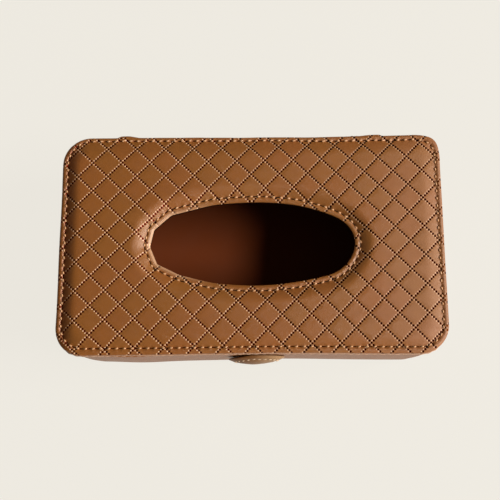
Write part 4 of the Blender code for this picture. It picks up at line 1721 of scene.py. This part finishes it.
@dataclass
class Walls:
    """The leather and the lining of the four walls.

    The sections are insets and heights: down the outer face, and from the foot round the hem and up the
    inner face.
    """

    finishes: Finishes
    sewing: Sewing
    set_back: float = 0.0005
    head_section: Section = (
        (0.0009, HEIGHTS.wall_top),
        (0.0005, HEIGHTS.wall_top - 0.0002),
        (0.0005, HEIGHTS.wall_top - 0.0005),
        (0.0005, HEIGHTS.wall_top - 0.0009),
        (0.0005, HEIGHTS.wall_top - 0.0013),
        (0.0005, HEIGHTS.wall_top - 0.0018),
    )
    face_heights: Steps = (0.0622, 0.004, 13)
    foot_section: Section = ((0.00055, 0.0024), (0.0008, 0.00175))
    hem_section: Section = (
        (0.0013, HEIGHTS.wall_bottom),
        (0.0048, HEIGHTS.wall_bottom),
        (0.0051, HEIGHTS.wall_bottom + 0.0003),
        (0.0051, HEIGHTS.hem_top - 0.0003),
        (0.0048, HEIGHTS.hem_top),
        (0.0022, HEIGHTS.hem_top),
        (0.0017, HEIGHTS.hem_top + 0.0005),
        (0.0017, 0.02),
        (0.0017, 0.045),
        (0.0017, HEIGHTS.wall_top - 0.0003),
        (0.0015, HEIGHTS.wall_top),
    )
    lining_inset: float = 0.0051
    lining_foot: Section = (
        (0.0043, HEIGHTS.layer_top),
        (0.0043, HEIGHTS.layer_bottom),
        (0.0045, HEIGHTS.layer_bottom),
        (0.0051, HEIGHTS.layer_bottom + 0.0004),
    )
    lining_heights: Steps = (0.008, 0.056, 7)
    lining_head: Section = ((0.0051, HEIGHTS.layer_top - 0.0003), (0.0048, HEIGHTS.layer_top))
    bulge: float = 0.0004
    slack: Ripple = Ripple(0.07, 0.00018, 2.1)
    end_rounding: float = 0.0009
    end_marks: Numbers = (0.0001, 0.00025, 0.00045, 0.0007, 0.0010)
    corner_marks: int = 20
    mark_step: float = 0.0012
    sway_reach: float = 0.0014
    seam_gap: float = 0.00015
    seam_row: float = 0.0022
    seam_heights: Steps = (0.0085, 0.0625, 28)
    seam_lift: float = 0.0001
    seam_stitches: int = 12
    stitch: Stitch = Stitch(0.0030, 0.0008, 0.0006, 0.06)
    rim_reach: float = 0.0002
    rim_drop: float = 0.0005
    rim_half: float = 0.0007
    rim_start: float = 0.062
    rim_fade: float = 0.006
    rim_wave: float = 0.12

    def stretches(self) -> dict[str, Pair]:
        """Start and end of each wall piece along the outline.

        Returns:
            The stretches by the wall's name.
        """
        across, along = PLAN.reach
        front = PLAN.quarter * 2 + 2 * across
        return {
            "front_wall": (0.0, front),
            "right_end": (front, front + 2 * along),
            "rear_wall": (front + 2 * along, 2 * front + 2 * along),
            "left_end": (2 * front + 2 * along, 2 * front + 4 * along),
        }

    def marks(self, start: float, end: float) -> Array:
        """Distances along a stretch, closer where it turns and at its ends.

        Args:
            start: Where it starts along the outline.
            end: Where it ends.

        Returns:
            The distances along the outline.
        """
        span = end - start
        ends = np.array(self.end_marks)
        places = {*np.linspace(0, span, int(span / self.mark_step)), *ends, *(span - ends)}
        if span > 3 * PLAN.quarter:
            corner = np.linspace(0, PLAN.quarter, self.corner_marks)
            places |= {*corner, *(span - corner)}
        return start + np.array(sorted(places))

    def sheet(
        self,
        name: str,
        span: Pair,
        outer: Section,
        hidden: Section,
        finish: Material,
    ) -> Piece:
        """Sweeps a closed section along a stretch of the outline.

        Args:
            name: The piece's name.
            span: Start and end along the outline.
            outer: Insets and heights of the outer face, which bulges and waves.
            hidden: Insets and heights of the rest.
            finish: The material.

        Returns:
            The piece.
        """
        mesher = Mesher()
        start, end = span[0] + self.seam_gap, span[1] - self.seam_gap
        marks = self.marks(start, end)
        places, outward = PLAN.walk(marks)
        turn = np.clip(self.end_rounding - np.minimum(marks - start, end - marks), 0, self.end_rounding)
        pull = self.end_rounding - np.sqrt(self.end_rounding**2 - turn**2)
        rows = []
        for number, (inset, height) in enumerate([*outer, *hidden]):
            distance = np.full(len(marks), -inset)
            if number < len(outer):
                share = ramp(height, HEIGHTS.wall_bottom, HEIGHTS.wall_top - HEIGHTS.wall_bottom)
                lift = math.sin(math.pi * share) * (self.bulge + self.slack.at(level(places, height)))
                distance = distance + lift - pull + self.rim(places, marks, height)
            flat = places + outward * distance[:, None]
            if inset < self.sway_reach:
                flat = flat + PLAN.sway(flat)
            rows.append(mesher.row(level(flat, height)))
        for first, second in zip(rows, [*rows[1:], rows[0]]):
            mesher.bridge(first, second, closed=False)
        numbers = np.stack(rows, axis=1)
        mesher.faces += [numbers[0].tolist(), numbers[-1].tolist()]
        return mesher.piece(name, finish)

    def rim(self, places: Array, marks: Array, height: float) -> Array:
        """How far the rolled top rim of the front wall stands out, pulled in at each stitch.

        Args:
            places: Plan places.
            marks: Distances along the outline.
            height: The height.

        Returns:
            The distance for each place.
        """
        front = ramp(-places[:, 1], self.rim_start, self.rim_fade)
        roll = swell(height - HEIGHTS.wall_top + self.rim_drop, self.rim_half)
        pulled = 1 + self.rim_wave * np.cos(2 * math.pi * marks / self.stitch.pitch)
        return self.rim_reach * roll * front * pulled

    @staticmethod
    def run(inset: float, heights: Steps) -> list[Pair]:
        """A plain stretch of a section: one inset at even heights."""
        return [(inset, height) for height in np.linspace(*heights)]

    def build(self) -> None:
        """Builds the wall leather, its seams and the lining."""
        outer = [*self.head_section, *self.run(self.set_back, self.face_heights), *self.foot_section]
        lining = [*self.lining_foot, *self.run(self.lining_inset, self.lining_heights), *self.lining_head]
        for name, span in self.stretches().items():
            piece = self.sheet(f"{name}_leather", span, outer, self.hem_section, self.finishes.plain)
            hand_over(piece, Body.HOLDER, [f"{name}_cover"])
            piece = self.sheet(f"{name}_cloth", span, [], lining, self.finishes.lining)
            hand_over(piece, Body.HOLDER, [f"{name.removesuffix('_wall')}_lining"])
        for name, (start, end) in self.stretches().items():
            self.sew(f"{name}_start_seam", start + self.seam_row)
            self.sew(f"{name}_end_seam", end - self.seam_row)

    def sew(self, name: str, mark: float) -> None:
        """Sews one side of an upright seam.

        Args:
            name: The row's name.
            mark: Where it stands along the outline.
        """
        place, facing = PLAN.walk(np.array([mark]))
        heights = np.linspace(*self.seam_heights)
        shares = (heights - HEIGHTS.wall_bottom) / (HEIGHTS.wall_top - HEIGHTS.wall_bottom)
        lifts = np.sin(np.pi * shares) * self.bulge + self.seam_lift - self.set_back
        upright = np.column_stack([place + facing * lifts[:, None], heights])
        out = np.array([*facing[0], 0.0])
        piece = self.sewing.row(name, upright, out, self.stitch, self.finishes.thread, self.seam_stitches)
        hand_over(piece, Body.HOLDER)


# Plates and straps


@dataclass(frozen=True)
class Layer:
    """A flat layer: how far inside the plan outline it ends, its two sides and the rounding of its edges."""

    inset: float
    low: float
    high: float
    rounding: float = 0.0003
    corner_share: float = 0.3

    def profile(self) -> Section:
        """Its rounded edge: how far back from its rim, and heights, from the upper side down."""
        near = self.rounding * self.corner_share
        return (
            (self.rounding, self.high),
            (near, self.high - near),
            (0.0, self.high - self.rounding),
            (0.0, self.low + self.rounding),
            (near, self.low + near),
            (self.rounding, self.low),
        )


@dataclass
class Plates:
    """The lining under the top, and the leather, the lining and the bound edge of the base."""

    finishes: Finishes
    sewing: Sewing
    top_cloth: Layer = Layer(0.0020, 0.0608, 0.0616)
    base_leather: Layer = Layer(0.0005, 0.0, HEIGHTS.base_top, 0.0005)
    base_cloth: Layer = Layer(0.0061, 0.0038, 0.0046)
    hole_reach: float = 0.0017
    hole_points: int = 140
    hole_clearance: float = 0.002
    sway_reach: float = 0.0014
    outline_step: float = 0.0025
    grid_across: Steps = (-0.108, 0.108, 28)
    grid_along: Steps = (-0.058, 0.058, 15)
    binding_section: Section = (
        (-0.0058, 0.0014), (-0.0055, 0.0017), (-0.0055, 0.0044), (-0.0057, 0.0049),
        (-0.0062, 0.0051), (-0.0092, 0.0051), (-0.0095, 0.0049), (-0.0095, 0.0047),
        (-0.0062, 0.0047), (-0.0059, 0.0044), (-0.0059, 0.0016),
    )
    stitch: Stitch = Stitch()
    base_seam: Triple = (0.002, -0.0045, -0.00005)
    binding_seam: Triple = (0.0025, -0.0080, 0.00515)

    def plate(self, name: str, layer: Layer, finish: Material, pierced: bool = False) -> Piece:
        """Makes a flat layer with rounded edges.

        Args:
            name: The piece's name.
            layer: Its sizes.
            finish: The material.
            pierced: Whether the opening goes through it.

        Returns:
            The piece.
        """
        mesher = Mesher()
        outline = PLAN.loop(self.outline_step)
        if layer.inset < self.sway_reach:
            outline = Loop(outline.places + PLAN.sway(outline.places), outline.outward)
        outside = mesher.sweep(outline, [(-layer.inset - back, height) for back, height in layer.profile()])
        loops = [[outside[0]], [outside[-1]]]
        grid = np.stack(np.meshgrid(np.linspace(*self.grid_across), np.linspace(*self.grid_along)), axis=-1)
        flat = grid.reshape(-1, 2)
        if pierced:
            oval = OPENING.loop(self.hole_points)
            section = [(self.hole_reach + back, height) for back, height in layer.profile()]
            inside = mesher.sweep(oval, section)
            loops = [[outside[0], inside[0]], [outside[-1], inside[-1]]]
            flat = flat[~encloses(oval.moved(self.hole_reach + self.hole_clearance), flat)]
        for some, height in zip(loops, (layer.high, layer.low)):
            mesher.fill(some, Lay.LEVEL, level(flat, height))
        return mesher.piece(name, finish)

    def build(self) -> None:
        """Builds the plates, the bound edge and their stitches."""
        piece = self.plate("top_cloth", self.top_cloth, self.finishes.lining, pierced=True)
        hand_over(piece, Body.HOLDER, ["top_lining"])
        piece = self.plate("base_leather", self.base_leather, self.finishes.plain)
        hand_over(piece, Body.FLAP, ["base_cover"])
        piece = self.plate("base_cloth", self.base_cloth, self.finishes.lining)
        hand_over(piece, Body.FLAP, ["base_lining"])
        self.build_binding()
        self.sew("binding_stitches", self.binding_seam, 1.0)
        self.sew("base_stitches", self.base_seam, -1.0)

    def build_binding(self) -> None:
        """Wraps a leather edge round the base board and over the rim of its lining."""
        mesher = Mesher()
        rows = mesher.sweep(PLAN.loop(self.outline_step), self.binding_section)
        mesher.bridge(rows[-1], rows[0])
        piece = mesher.piece("base_binding", self.finishes.plain)
        hand_over(piece, Body.FLAP)

    def sew(self, name: str, seam: Triple, up: float) -> None:
        """Sews a row of stitches round the base.

        Args:
            name: The row's name.
            seam: The step of its track, its distance outwards and its height.
            up: 1 for a row on the upper side, -1 for one underneath.
        """
        step, distance, height = seam
        track = PLAN.loop(step).at_height(distance, height)
        piece = self.sewing.row(name, track, np.array([0.0, 0.0, up]), self.stitch, self.finishes.thread)
        hand_over(piece, Body.FLAP)


@dataclass
class Straps:
    """The two elastic straps down the rear wall."""

    finishes: Finishes
    sewing: Sewing
    places: Pair = (-0.074, 0.074)
    half_width: float = 0.010
    front: float = 0.0693
    back: float = 0.0708
    low: float = 0.0018
    high: float = 0.0649
    end_gap: float = 0.0006
    rows: int = 22
    columns: int = 73
    ribs: int = 9
    rib_depth: float = 0.00022
    plain_share: float = 0.97
    side_share: float = 0.95
    side_rounding: float = 0.0004
    back_share: float = 0.96
    back_rounding: float = 0.0003
    waist_share: float = 0.018
    tuck_run: float = 0.0045
    tuck_share: float = 0.5
    stitch: Stitch = Stitch(0.0024, 0.0009, 0.0006)
    stitches: int = 6
    seam_half_width: float = 0.0082
    seam_points: int = 12
    seam_lift: float = 0.0001
    seam_heights: tuple[tuple[str, float], ...] = (("low", 0.0062), ("high", 0.0620))

    def build(self) -> None:
        """Builds both straps and the stitches that hold their ends."""
        out = np.array([0.0, 1.0, 0.0])
        half = self.seam_half_width
        thread = self.finishes.thread
        for name, middle in zip(("left_strap", "right_strap"), self.places):
            piece = self.band(f"{name}_band", middle)
            hand_over(piece, Body.HOLDER, [name])
            for end, height in self.seam_heights:
                xs = np.linspace(middle - half, middle + half, self.seam_points)
                track = level(np.column_stack([xs, np.full(len(xs), self.back + self.seam_lift)]), height)
                row_name = f"{name}_{end}_stitches"
                piece = self.sewing.row(row_name, track, out, self.stitch, thread, self.stitches)
                hand_over(piece, Body.HOLDER)

    def band(self, name: str, middle: float) -> Piece:
        """Makes one ribbed band.

        Args:
            name: The piece's name.
            middle: Its middle across the wall.

        Returns:
            The piece.
        """
        mesher = Mesher()
        across = np.linspace(-1, 1, self.columns)
        rib = np.abs(np.cos(across * math.pi * self.ribs / 2))
        rib[np.abs(across) > self.plain_share] = 0
        side = ramp(np.abs(across), self.side_share, 1 - self.side_share)
        outer = self.back - self.rib_depth * (1 - rib) - self.side_rounding * side
        near = self.back_share
        ring_x = np.concatenate([across, (1, near, -near, -1)]) * self.half_width
        rounded = self.front + self.back_rounding
        ring_y = np.concatenate([outer, (rounded, self.front, self.front, rounded)])
        inner_heights = np.linspace(self.low + self.end_gap, self.high - self.end_gap, self.rows)
        rows = []
        for height in (self.low, *inner_heights, self.high):
            waist = self.waist_share * math.sin(math.pi * (height - self.low) / (self.high - self.low))
            tuck = ramp(height, self.high - self.tuck_run, self.tuck_run) ** 2
            y = self.front + (ring_y - self.front) * (1 - self.tuck_share * tuck)
            rows.append(mesher.row(level(np.column_stack([middle + ring_x * (1 - waist), y]), height)))
        mesher.tube(rows)
        mesher.faces += [rows[0].tolist(), rows[-1].tolist()]
        return mesher.piece(name, self.finishes.elastic)


# Closure tongue


@dataclass(frozen=True)
class Fold:
    """A strip of leather along X that lies between two bodies: its ends across and its outer profile."""

    span: Pair
    profile: Section
    thickness: float
    columns: int
    start: Place
    end: Place


@dataclass
class Tongue:
    """The closure tongue with its domed round end, and the leather folds between the walls and the base and
    between the base and the tongue.

    The swells are how far the face stands out at shares of the way from the peak to the rim, with the
    ridge along the edge and without it.
    """

    finishes: Finishes
    sewing: Sewing
    middle: float = 0.0029
    back: float = 0.0693
    thickness: float = 0.0006
    half_neck: float = 0.0110
    half_dome: Pair = (0.01790, 0.0150)
    centre: float = 0.038
    protrusion: float = 0.0045
    peak: float = -0.0027
    foot: float = 0.0006
    tuck: float = 0.0006
    stand_off: float = 0.0012
    stand_off_start: float = 0.30
    flush_start: float = -0.0085
    flush_run: float = 0.0065
    ridge_rise: float = 0.45
    swell_shares: Numbers = (
        0.0, 0.20, 0.40, 0.52, 0.60, 0.66, 0.71, 0.76, 0.81, 0.86, 0.90, 0.95, 1.0, 1.04,
    )
    ridged_swells: Numbers = (
        1.0, 0.93, 0.82, 0.72, 0.64, 0.57, 0.48, 0.37, 0.41, 0.29, 0.37, 0.28, 0.02, 0.0,
    )
    plain_swells: Numbers = (
        1.0, 0.93, 0.83, 0.74, 0.67, 0.60, 0.52, 0.41, 0.42, 0.30, 0.22, 0.12, 0.0, 0.0,
    )
    rim_rounding: float = 0.0002
    round_points: int = 90
    side_points: int = 12
    ring_shares: Numbers = (
        0.965, 0.94, 0.915, 0.89, 0.865, 0.84, 0.81, 0.785, 0.76,
        0.735, 0.71, 0.66, 0.60, 0.52, 0.43, 0.32, 0.20, 0.09,
    )
    ring_points: int = 84
    least_points: int = 8
    neck_across: Steps = (-0.0098, 0.0098, 9)
    neck_up: Steps = (0.0022, 0.0215, 9)
    neck_start: float = 1.03
    pocket_points: int = 64
    pocket_shares: Pair = (0.82, 0.80)
    pocket_depth: float = 0.0011
    seat_radius: float = 0.0073
    seat_depth: float = 0.0026
    patch_profile: Section = ((0.0006, 0.0), (0.00035, 0.0002), (0.00035, 0.0006), (0.0006, 0.0008))
    stitch: Stitch = Stitch(0.0024, 0.0012, 0.0010, 0.35, 0.0036)
    stitch_share: float = 0.76
    stitch_points: int = 96
    stitch_lean: float = 0.18
    stitch_lift: float = 0.00002
    rear_fold: Fold = Fold(
        (-0.100, 0.100),
        (
            (0.0620, -0.0002), (0.0655, -0.0003), (0.0682, -0.0003), (0.0693, 0.0002),
            (0.0696, 0.0012), (0.0696, 0.0030), (0.0695, 0.0055),
        ),
        0.0006,
        56,
        (0.0, 0.0690, 0.0034),
        (0.0, 0.0655, -0.0004),
    )
    foot_fold: Fold = Fold(
        (-0.0077, 0.0135),
        (
            (-0.0615, -0.0002), (-0.0660, -0.0003), (-0.0686, -0.0003), (-0.0699, 0.0001),
            (-0.0704, 0.0010), (-0.0704, 0.0030), (-0.0703, 0.0050),
        ),
        0.0004,
        14,
        (0.0, -0.0670, -0.0002),
        (0.0, -0.0702, 0.0028),
    )
    fold_steps: int = 4
    fold_middle: Pair = (0.0, 0.01)

    def oval(self, wide: float, tall: float, angles: Array) -> Array:
        """Places across and up on an oval round the dome's middle."""
        return np.stack([self.middle + wide * np.cos(angles), self.centre + tall * np.sin(angles)], axis=1)

    def circle(self, wide: float, tall: float, count: int) -> Array:
        """Even places all round such an oval."""
        return self.oval(wide, tall, np.linspace(0, 2 * math.pi, count, endpoint=False))

    @staticmethod
    def stand(flat: Array, reach: Array | float) -> Array:
        """Places across and up, set in space at their distance forward."""
        return np.column_stack([flat[:, 0], np.broadcast_to(-reach, len(flat)), flat[:, 1]])

    def outline(self, inset: float) -> Array:
        """Neck and round end as one outline, drawn in by an inset.

        Args:
            inset: How far in.

        Returns:
            Places across and up.
        """
        wide, tall = self.half_dome[0] - inset, self.half_dome[1] - inset
        left, right = self.middle - self.half_neck + inset, self.middle + self.half_neck - inset
        spread = math.acos((self.half_neck - inset) / wide)
        round_end = self.oval(wide, tall, np.linspace(-spread, math.pi + spread, self.round_points))
        rising = np.linspace(self.foot, self.centre - tall * math.sin(spread), self.side_points)[1:-1]
        left_side = np.column_stack([np.full(len(rising), left), rising[::-1]])
        bottom = level(np.linspace(left, right, self.side_points)[:, None], self.foot)
        right_side = np.column_stack([np.full(len(rising), right), rising])
        return np.concatenate([round_end, left_side, bottom, right_side])

    def share(self, flat: Array, shift: Array | float = 0.0) -> Array:
        """How far out on the dome places lie: 0 in the middle, which may be shifted, and 1 on the rim."""
        across = (flat[:, 0] - self.middle - shift) / self.half_dome[0]
        return np.hypot(across, (flat[:, 1] - self.centre) / self.half_dome[1])

    def face(self, flat: Array) -> Array:
        """How far forward the face stands.

        Args:
            flat: Places across and up.

        Returns:
            The distance of each.
        """
        share = self.share(flat, self.peak * (1 - np.minimum(self.share(flat), 1)))
        ridge = self.flush(flat) * ramp(flat[:, 1], self.centre, self.ridge_rise * self.half_dome[1])
        plain = np.interp(share, self.swell_shares, self.plain_swells)
        ridged = np.interp(share, self.swell_shares, self.ridged_swells)
        rim = self.thickness + self.rim_back(flat)
        return rim + (self.back + self.protrusion - rim) * (plain * (1 - ridge) + ridged * ridge)

    def rim_back(self, flat: Array) -> Array:
        """Where the back of the rim stands: close to the wall at the right, further off at the left end."""
        off = ramp((self.middle - flat[:, 0]) / self.half_dome[0], self.stand_off_start, 1.0)
        return self.back - self.tuck * self.flush(flat) + self.stand_off * off

    def flush(self, flat: Array) -> Array:
        """Where the tongue lies close to the wall: its right half, with a ridge along the edge."""
        return ramp(flat[:, 0] - self.middle, self.flush_start, self.flush_run)

    def build(self) -> None:
        """Builds the tongue, its patch, its ring of stitches and both folds."""
        self.build_cover()
        self.build_patch()
        self.build_ring()
        self.build_fold("rear_fold", self.rear_fold, Body.HOLDER, Body.FLAP)
        self.build_fold("tongue_fold", self.foot_fold, Body.FLAP, Body.TONGUE)

    def build_cover(self) -> None:
        """Builds the leather of the tongue."""
        mesher = Mesher()
        rows = []
        rounding = self.rim_rounding
        rings = ((rounding, 0.0, 0.0), (0.0, rounding, 0.0), (0.0, -rounding, 1.0), (rounding, 0.0, 1.0))
        for inset, edge, front in rings:
            flat = self.outline(inset)
            back = self.rim_back(flat)
            rows.append(mesher.row(self.stand(flat, back + (self.face(flat) - back) * front + edge)))
        mesher.tube(rows)
        inner = []
        for share in self.ring_shares:
            count = max(int(self.ring_points * share), self.least_points)
            inner.append(self.circle(share * self.half_dome[0], share * self.half_dome[1], count))
        inner.append(np.array([[self.middle, self.centre]]))
        neck = np.stack(np.meshgrid(np.linspace(*self.neck_across), np.linspace(*self.neck_up)), axis=-1)
        neck = neck.reshape(-1, 2) + np.array([self.middle, 0.0])
        inner.append(neck[self.share(neck) > self.neck_start])
        flat = np.concatenate(inner)
        mesher.fill([rows[-1]], Lay.UPRIGHT, self.stand(flat, self.face(flat)))
        self.fill_back(mesher, rows[0])
        piece = mesher.piece("tongue_cover", self.finishes.polished)
        hand_over(piece, Body.TONGUE, ["tongue_leather"])

    def fill_back(self, mesher: Mesher, rim: Array) -> None:
        """Closes the back, with the pocket for the magnet and its patch.

        Args:
            mesher: The tongue's mesher.
            rim: Numbers of the back rim's points.
        """
        wide, tall = self.half_dome
        mouth, floor = self.pocket_shares
        rows = []
        for half_width, half_height, depth in (
            (mouth * wide, mouth * tall, 0.0),
            (floor * wide, floor * tall, self.pocket_depth),
            (self.seat_radius, self.seat_radius, self.pocket_depth),
            (self.seat_radius, self.seat_radius, self.seat_depth),
        ):
            flat = self.circle(half_width, half_height, self.pocket_points)
            rows.append(mesher.row(self.stand(flat, self.back + depth)))
        mesher.fill([rim, rows[0]], Lay.UPRIGHT)
        mesher.tube(rows)
        self.close(mesher, rows[-1], self.seat_depth)

    def close(self, mesher: Mesher, row: Array, depth: float) -> None:
        """Closes a row with triangles to a point at the dome's middle."""
        mesher.fill([row], Lay.UPRIGHT, np.array([[self.middle, -self.back - depth, self.centre]]))

    def build_patch(self) -> None:
        """Makes the round patch that shuts the magnet's pocket."""
        mesher = Mesher()
        wide, tall = (half * self.pocket_shares[1] for half in self.half_dome)
        rows = []
        for back, forward in self.patch_profile:
            flat = self.circle(wide - back, tall - back, self.pocket_points)
            rows.append(mesher.row(self.stand(flat, self.back + forward)))
        mesher.tube(rows)
        self.close(mesher, rows[0], self.patch_profile[0][1])
        self.close(mesher, rows[-1], self.patch_profile[-1][1])
        piece = mesher.piece("pocket_patch", self.finishes.lining)
        hand_over(piece, Body.TONGUE, ["magnet_patch"])

    def build_ring(self) -> None:
        """Sews a ring of stitches round the dome."""
        wide, tall = (half * self.stitch_share for half in self.half_dome)
        angles = np.linspace(0, 2 * math.pi, self.stitch_points, endpoint=False)
        flat = self.oval(wide, tall, angles)
        forward = np.full(len(angles), -1 / self.stitch_lean)
        lean = np.stack([np.cos(angles), forward, np.sin(angles)], axis=1)
        track = self.stand(flat, self.face(flat) + self.stitch_lift)
        piece = self.sewing.row(
            "tongue_stitches", track, lean * self.stitch_lean, self.stitch, self.finishes.pale_thread
        )
        hand_over(piece, Body.TONGUE)

    def build_fold(self, name: str, fold: Fold, first: Body, second: Body) -> None:
        """Makes a fold of leather that lies between two bodies; it is not attached to either.

        Args:
            name: The piece's name.
            fold: Its sizes.
            first: The body at its start, which is only named in the log.
            second: The body at its end, which is only named in the log.
        """
        corners = np.array(fold.profile)
        last = len(corners) - 1
        marks = np.linspace(0, last, last * self.fold_steps + 1)
        counted = np.arange(last + 1)
        smooth = np.stack([np.interp(marks, counted, corners[:, axis]) for axis in (0, 1)], axis=1)
        for _ in range(3):
            smooth[1:-1] = (smooth[:-2] + 2 * smooth[1:-1] + smooth[2:]) / 4
        ahead = np.gradient(smooth, axis=0)
        inward = np.stack([-ahead[:, 1], ahead[:, 0]], axis=1)
        inward /= np.linalg.norm(inward, axis=1)[:, None]
        half = len(smooth)
        if inward[half // 2] @ (np.array(self.fold_middle) - smooth[half // 2]) < 0:
            inward = -inward
        ring = np.concatenate([smooth, (smooth + inward * fold.thickness)[::-1]])
        mesher = Mesher()
        rows = []
        for x in np.linspace(*fold.span, fold.columns):
            rows.append(mesher.row(np.column_stack([np.full(len(ring), x), ring])))
        mesher.tube(rows)
        for row in (rows[0], rows[-1]):
            mesher.bridge(row[:half], row[half:][::-1], closed=False)
        piece = mesher.piece(name, self.finishes.plain)
        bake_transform(piece)
        LOG.info("%s bends between %s and %s", name, first.value, second.value)


# Studio


@dataclass(frozen=True)
class Lamp:
    """A soft area light: its place, its width and height, its power in watts and its colour."""

    name: str
    place: Place
    size: Pair
    power: float
    colour: Colour


@dataclass
class Studio:
    """The pale floor, the soft lights and the camera at the photograph's angle, turned in radians."""

    eye: Place = (0.00656, -0.09820, 0.52407)
    turn: Triple = (0.201755, 0.016608, -0.004428)
    lens: float = 54.0
    sensor: float = 36.0
    nearest: float = 0.01
    backdrop: Colour = (0.855, 0.823, 0.753)
    room: Colour = (0.085, 0.081, 0.075)
    floor_half: float = 1.5
    floor_level: float = -0.0009
    floor_roughness: float = 0.9
    floor_glow: float = 1.008
    glow_share: float = 0.95
    aim: Place = (0.0, 0.0, 0.04)
    lamps: tuple[Lamp, ...] = (
        Lamp("key", (1.86, -0.16, 1.725), (1.29, 0.48), 64.4, (1.0, 0.975, 0.94)),
        Lamp("rake", (2.08, -0.12, 0.72), (1.65, 0.33), 20.8, (1.0, 0.96, 0.91)),
        Lamp("front_fill", (0.85, -1.05, 0.30), (1.2, 0.35), 4.8, (1.0, 0.98, 0.95)),
    )

    def build(self) -> None:
        """Builds the studio."""
        self.build_camera()
        self.build_floor()
        for lamp in self.lamps:
            self.hang(lamp)
        self.build_world()

    def build_camera(self) -> None:
        """Sets the camera at the photograph's angle."""
        data = bpy.data.cameras.new("camera")
        data.lens = self.lens
        data.sensor_width = self.sensor
        data.clip_start = self.nearest
        data.dof.use_dof = False
        camera = bpy.data.objects.new("camera", data)
        bpy.context.scene.collection.objects.link(camera)
        camera.location = self.eye
        camera.rotation_euler = self.turn
        bpy.context.scene.camera = camera

    def build_floor(self) -> None:
        """Lays a pale floor that keeps the shadow."""
        half = self.floor_half
        around = ((-half, -half), (half, -half), (half, half), (-half, half))
        corners = [(x, y, self.floor_level) for x, y in around]
        material, bench, shader, _ = start_material("floor")
        output = next(node for node in material.node_tree.nodes if node.type == "OUTPUT_MATERIAL")
        bench.feed(shader.inputs["Base Color"], self.backdrop)
        bench.feed(shader.inputs["Roughness"], self.floor_roughness)
        glow = bench.add("ShaderNodeEmission", {"Color": self.backdrop, "Strength": self.floor_glow})
        path = bench.add("ShaderNodeLightPath").outputs
        seen = bench.most(path["Is Camera Ray"], path["Is Glossy Ray"], path["Is Transmission Ray"])
        share = bench.times(seen, self.glow_share)
        mixed = bench.add("ShaderNodeMixShader", {0: share, 1: shader.outputs[0], 2: glow.outputs[0]})
        bench.feed(output.inputs["Surface"], mixed.outputs[0])
        mesh = bpy.data.meshes.new("floor")
        mesh.from_pydata(corners, [], [(0, 1, 2, 3)])
        mesh.materials.append(material)
        floor = bpy.data.objects.new("floor", mesh)
        bpy.context.scene.collection.objects.link(floor)

    def hang(self, lamp: Lamp) -> None:
        """Hangs a light that points at the box.

        Args:
            lamp: The light.
        """
        data = bpy.data.lights.new(lamp.name, "AREA")
        data.shape = "RECTANGLE"
        data.size, data.size_y = lamp.size
        data.energy = lamp.power
        data.color = lamp.colour
        light = bpy.data.objects.new(lamp.name, data)
        bpy.context.scene.collection.objects.link(light)
        light.location = lamp.place
        ahead = Vector(self.aim) - Vector(lamp.place)
        light.rotation_euler = ahead.to_track_quat("-Z", "Y").to_euler()

    def build_world(self) -> None:
        """Fills the room with soft pale light."""
        world = bpy.data.worlds.new("room")
        bpy.context.scene.world = world
        world.use_nodes = True
        bench = Bench(world.node_tree)
        background = next(node for node in world.node_tree.nodes if node.type == "BACKGROUND")
        seen = bench.add("ShaderNodeLightPath").outputs["Is Camera Ray"]
        bench.feed(background.inputs["Color"], bench.blend(seen, self.room, self.backdrop))
        bench.feed(background.inputs["Strength"], 1.0)


def dress_core(finishes: Finishes) -> None:
    """Gives the hidden boards and magnets their finishes.

    Args:
        finishes: The finishes.
    """
    boards = ("top", "front", "rear", "left_end", "right_end", "base")
    wanted = {
        finishes.board: [f"{name}_board" for name in boards],
        finishes.steel: ["wall_magnet", "tongue_magnet"],
    }
    for finish, names in wanted.items():
        for name in names:
            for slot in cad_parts[name].material_slots:
                slot.material = finish
            LOG.info("%s is dressed in %s", name, finish.name)


def main() -> None:
    """Builds every assembly in order."""
    logging.basicConfig(level=logging.INFO, format="%(message)s")
    bpy.context.scene.view_settings.view_transform = "Standard"
    finishes = Finishes()
    sewing = Sewing()
    Studio().build()
    for assembly in (TopPanel, Walls, Plates, Straps, Tongue):
        assembly(finishes, sewing).build()
    dress_core(finishes)


if __name__ == "__main__":
    main()
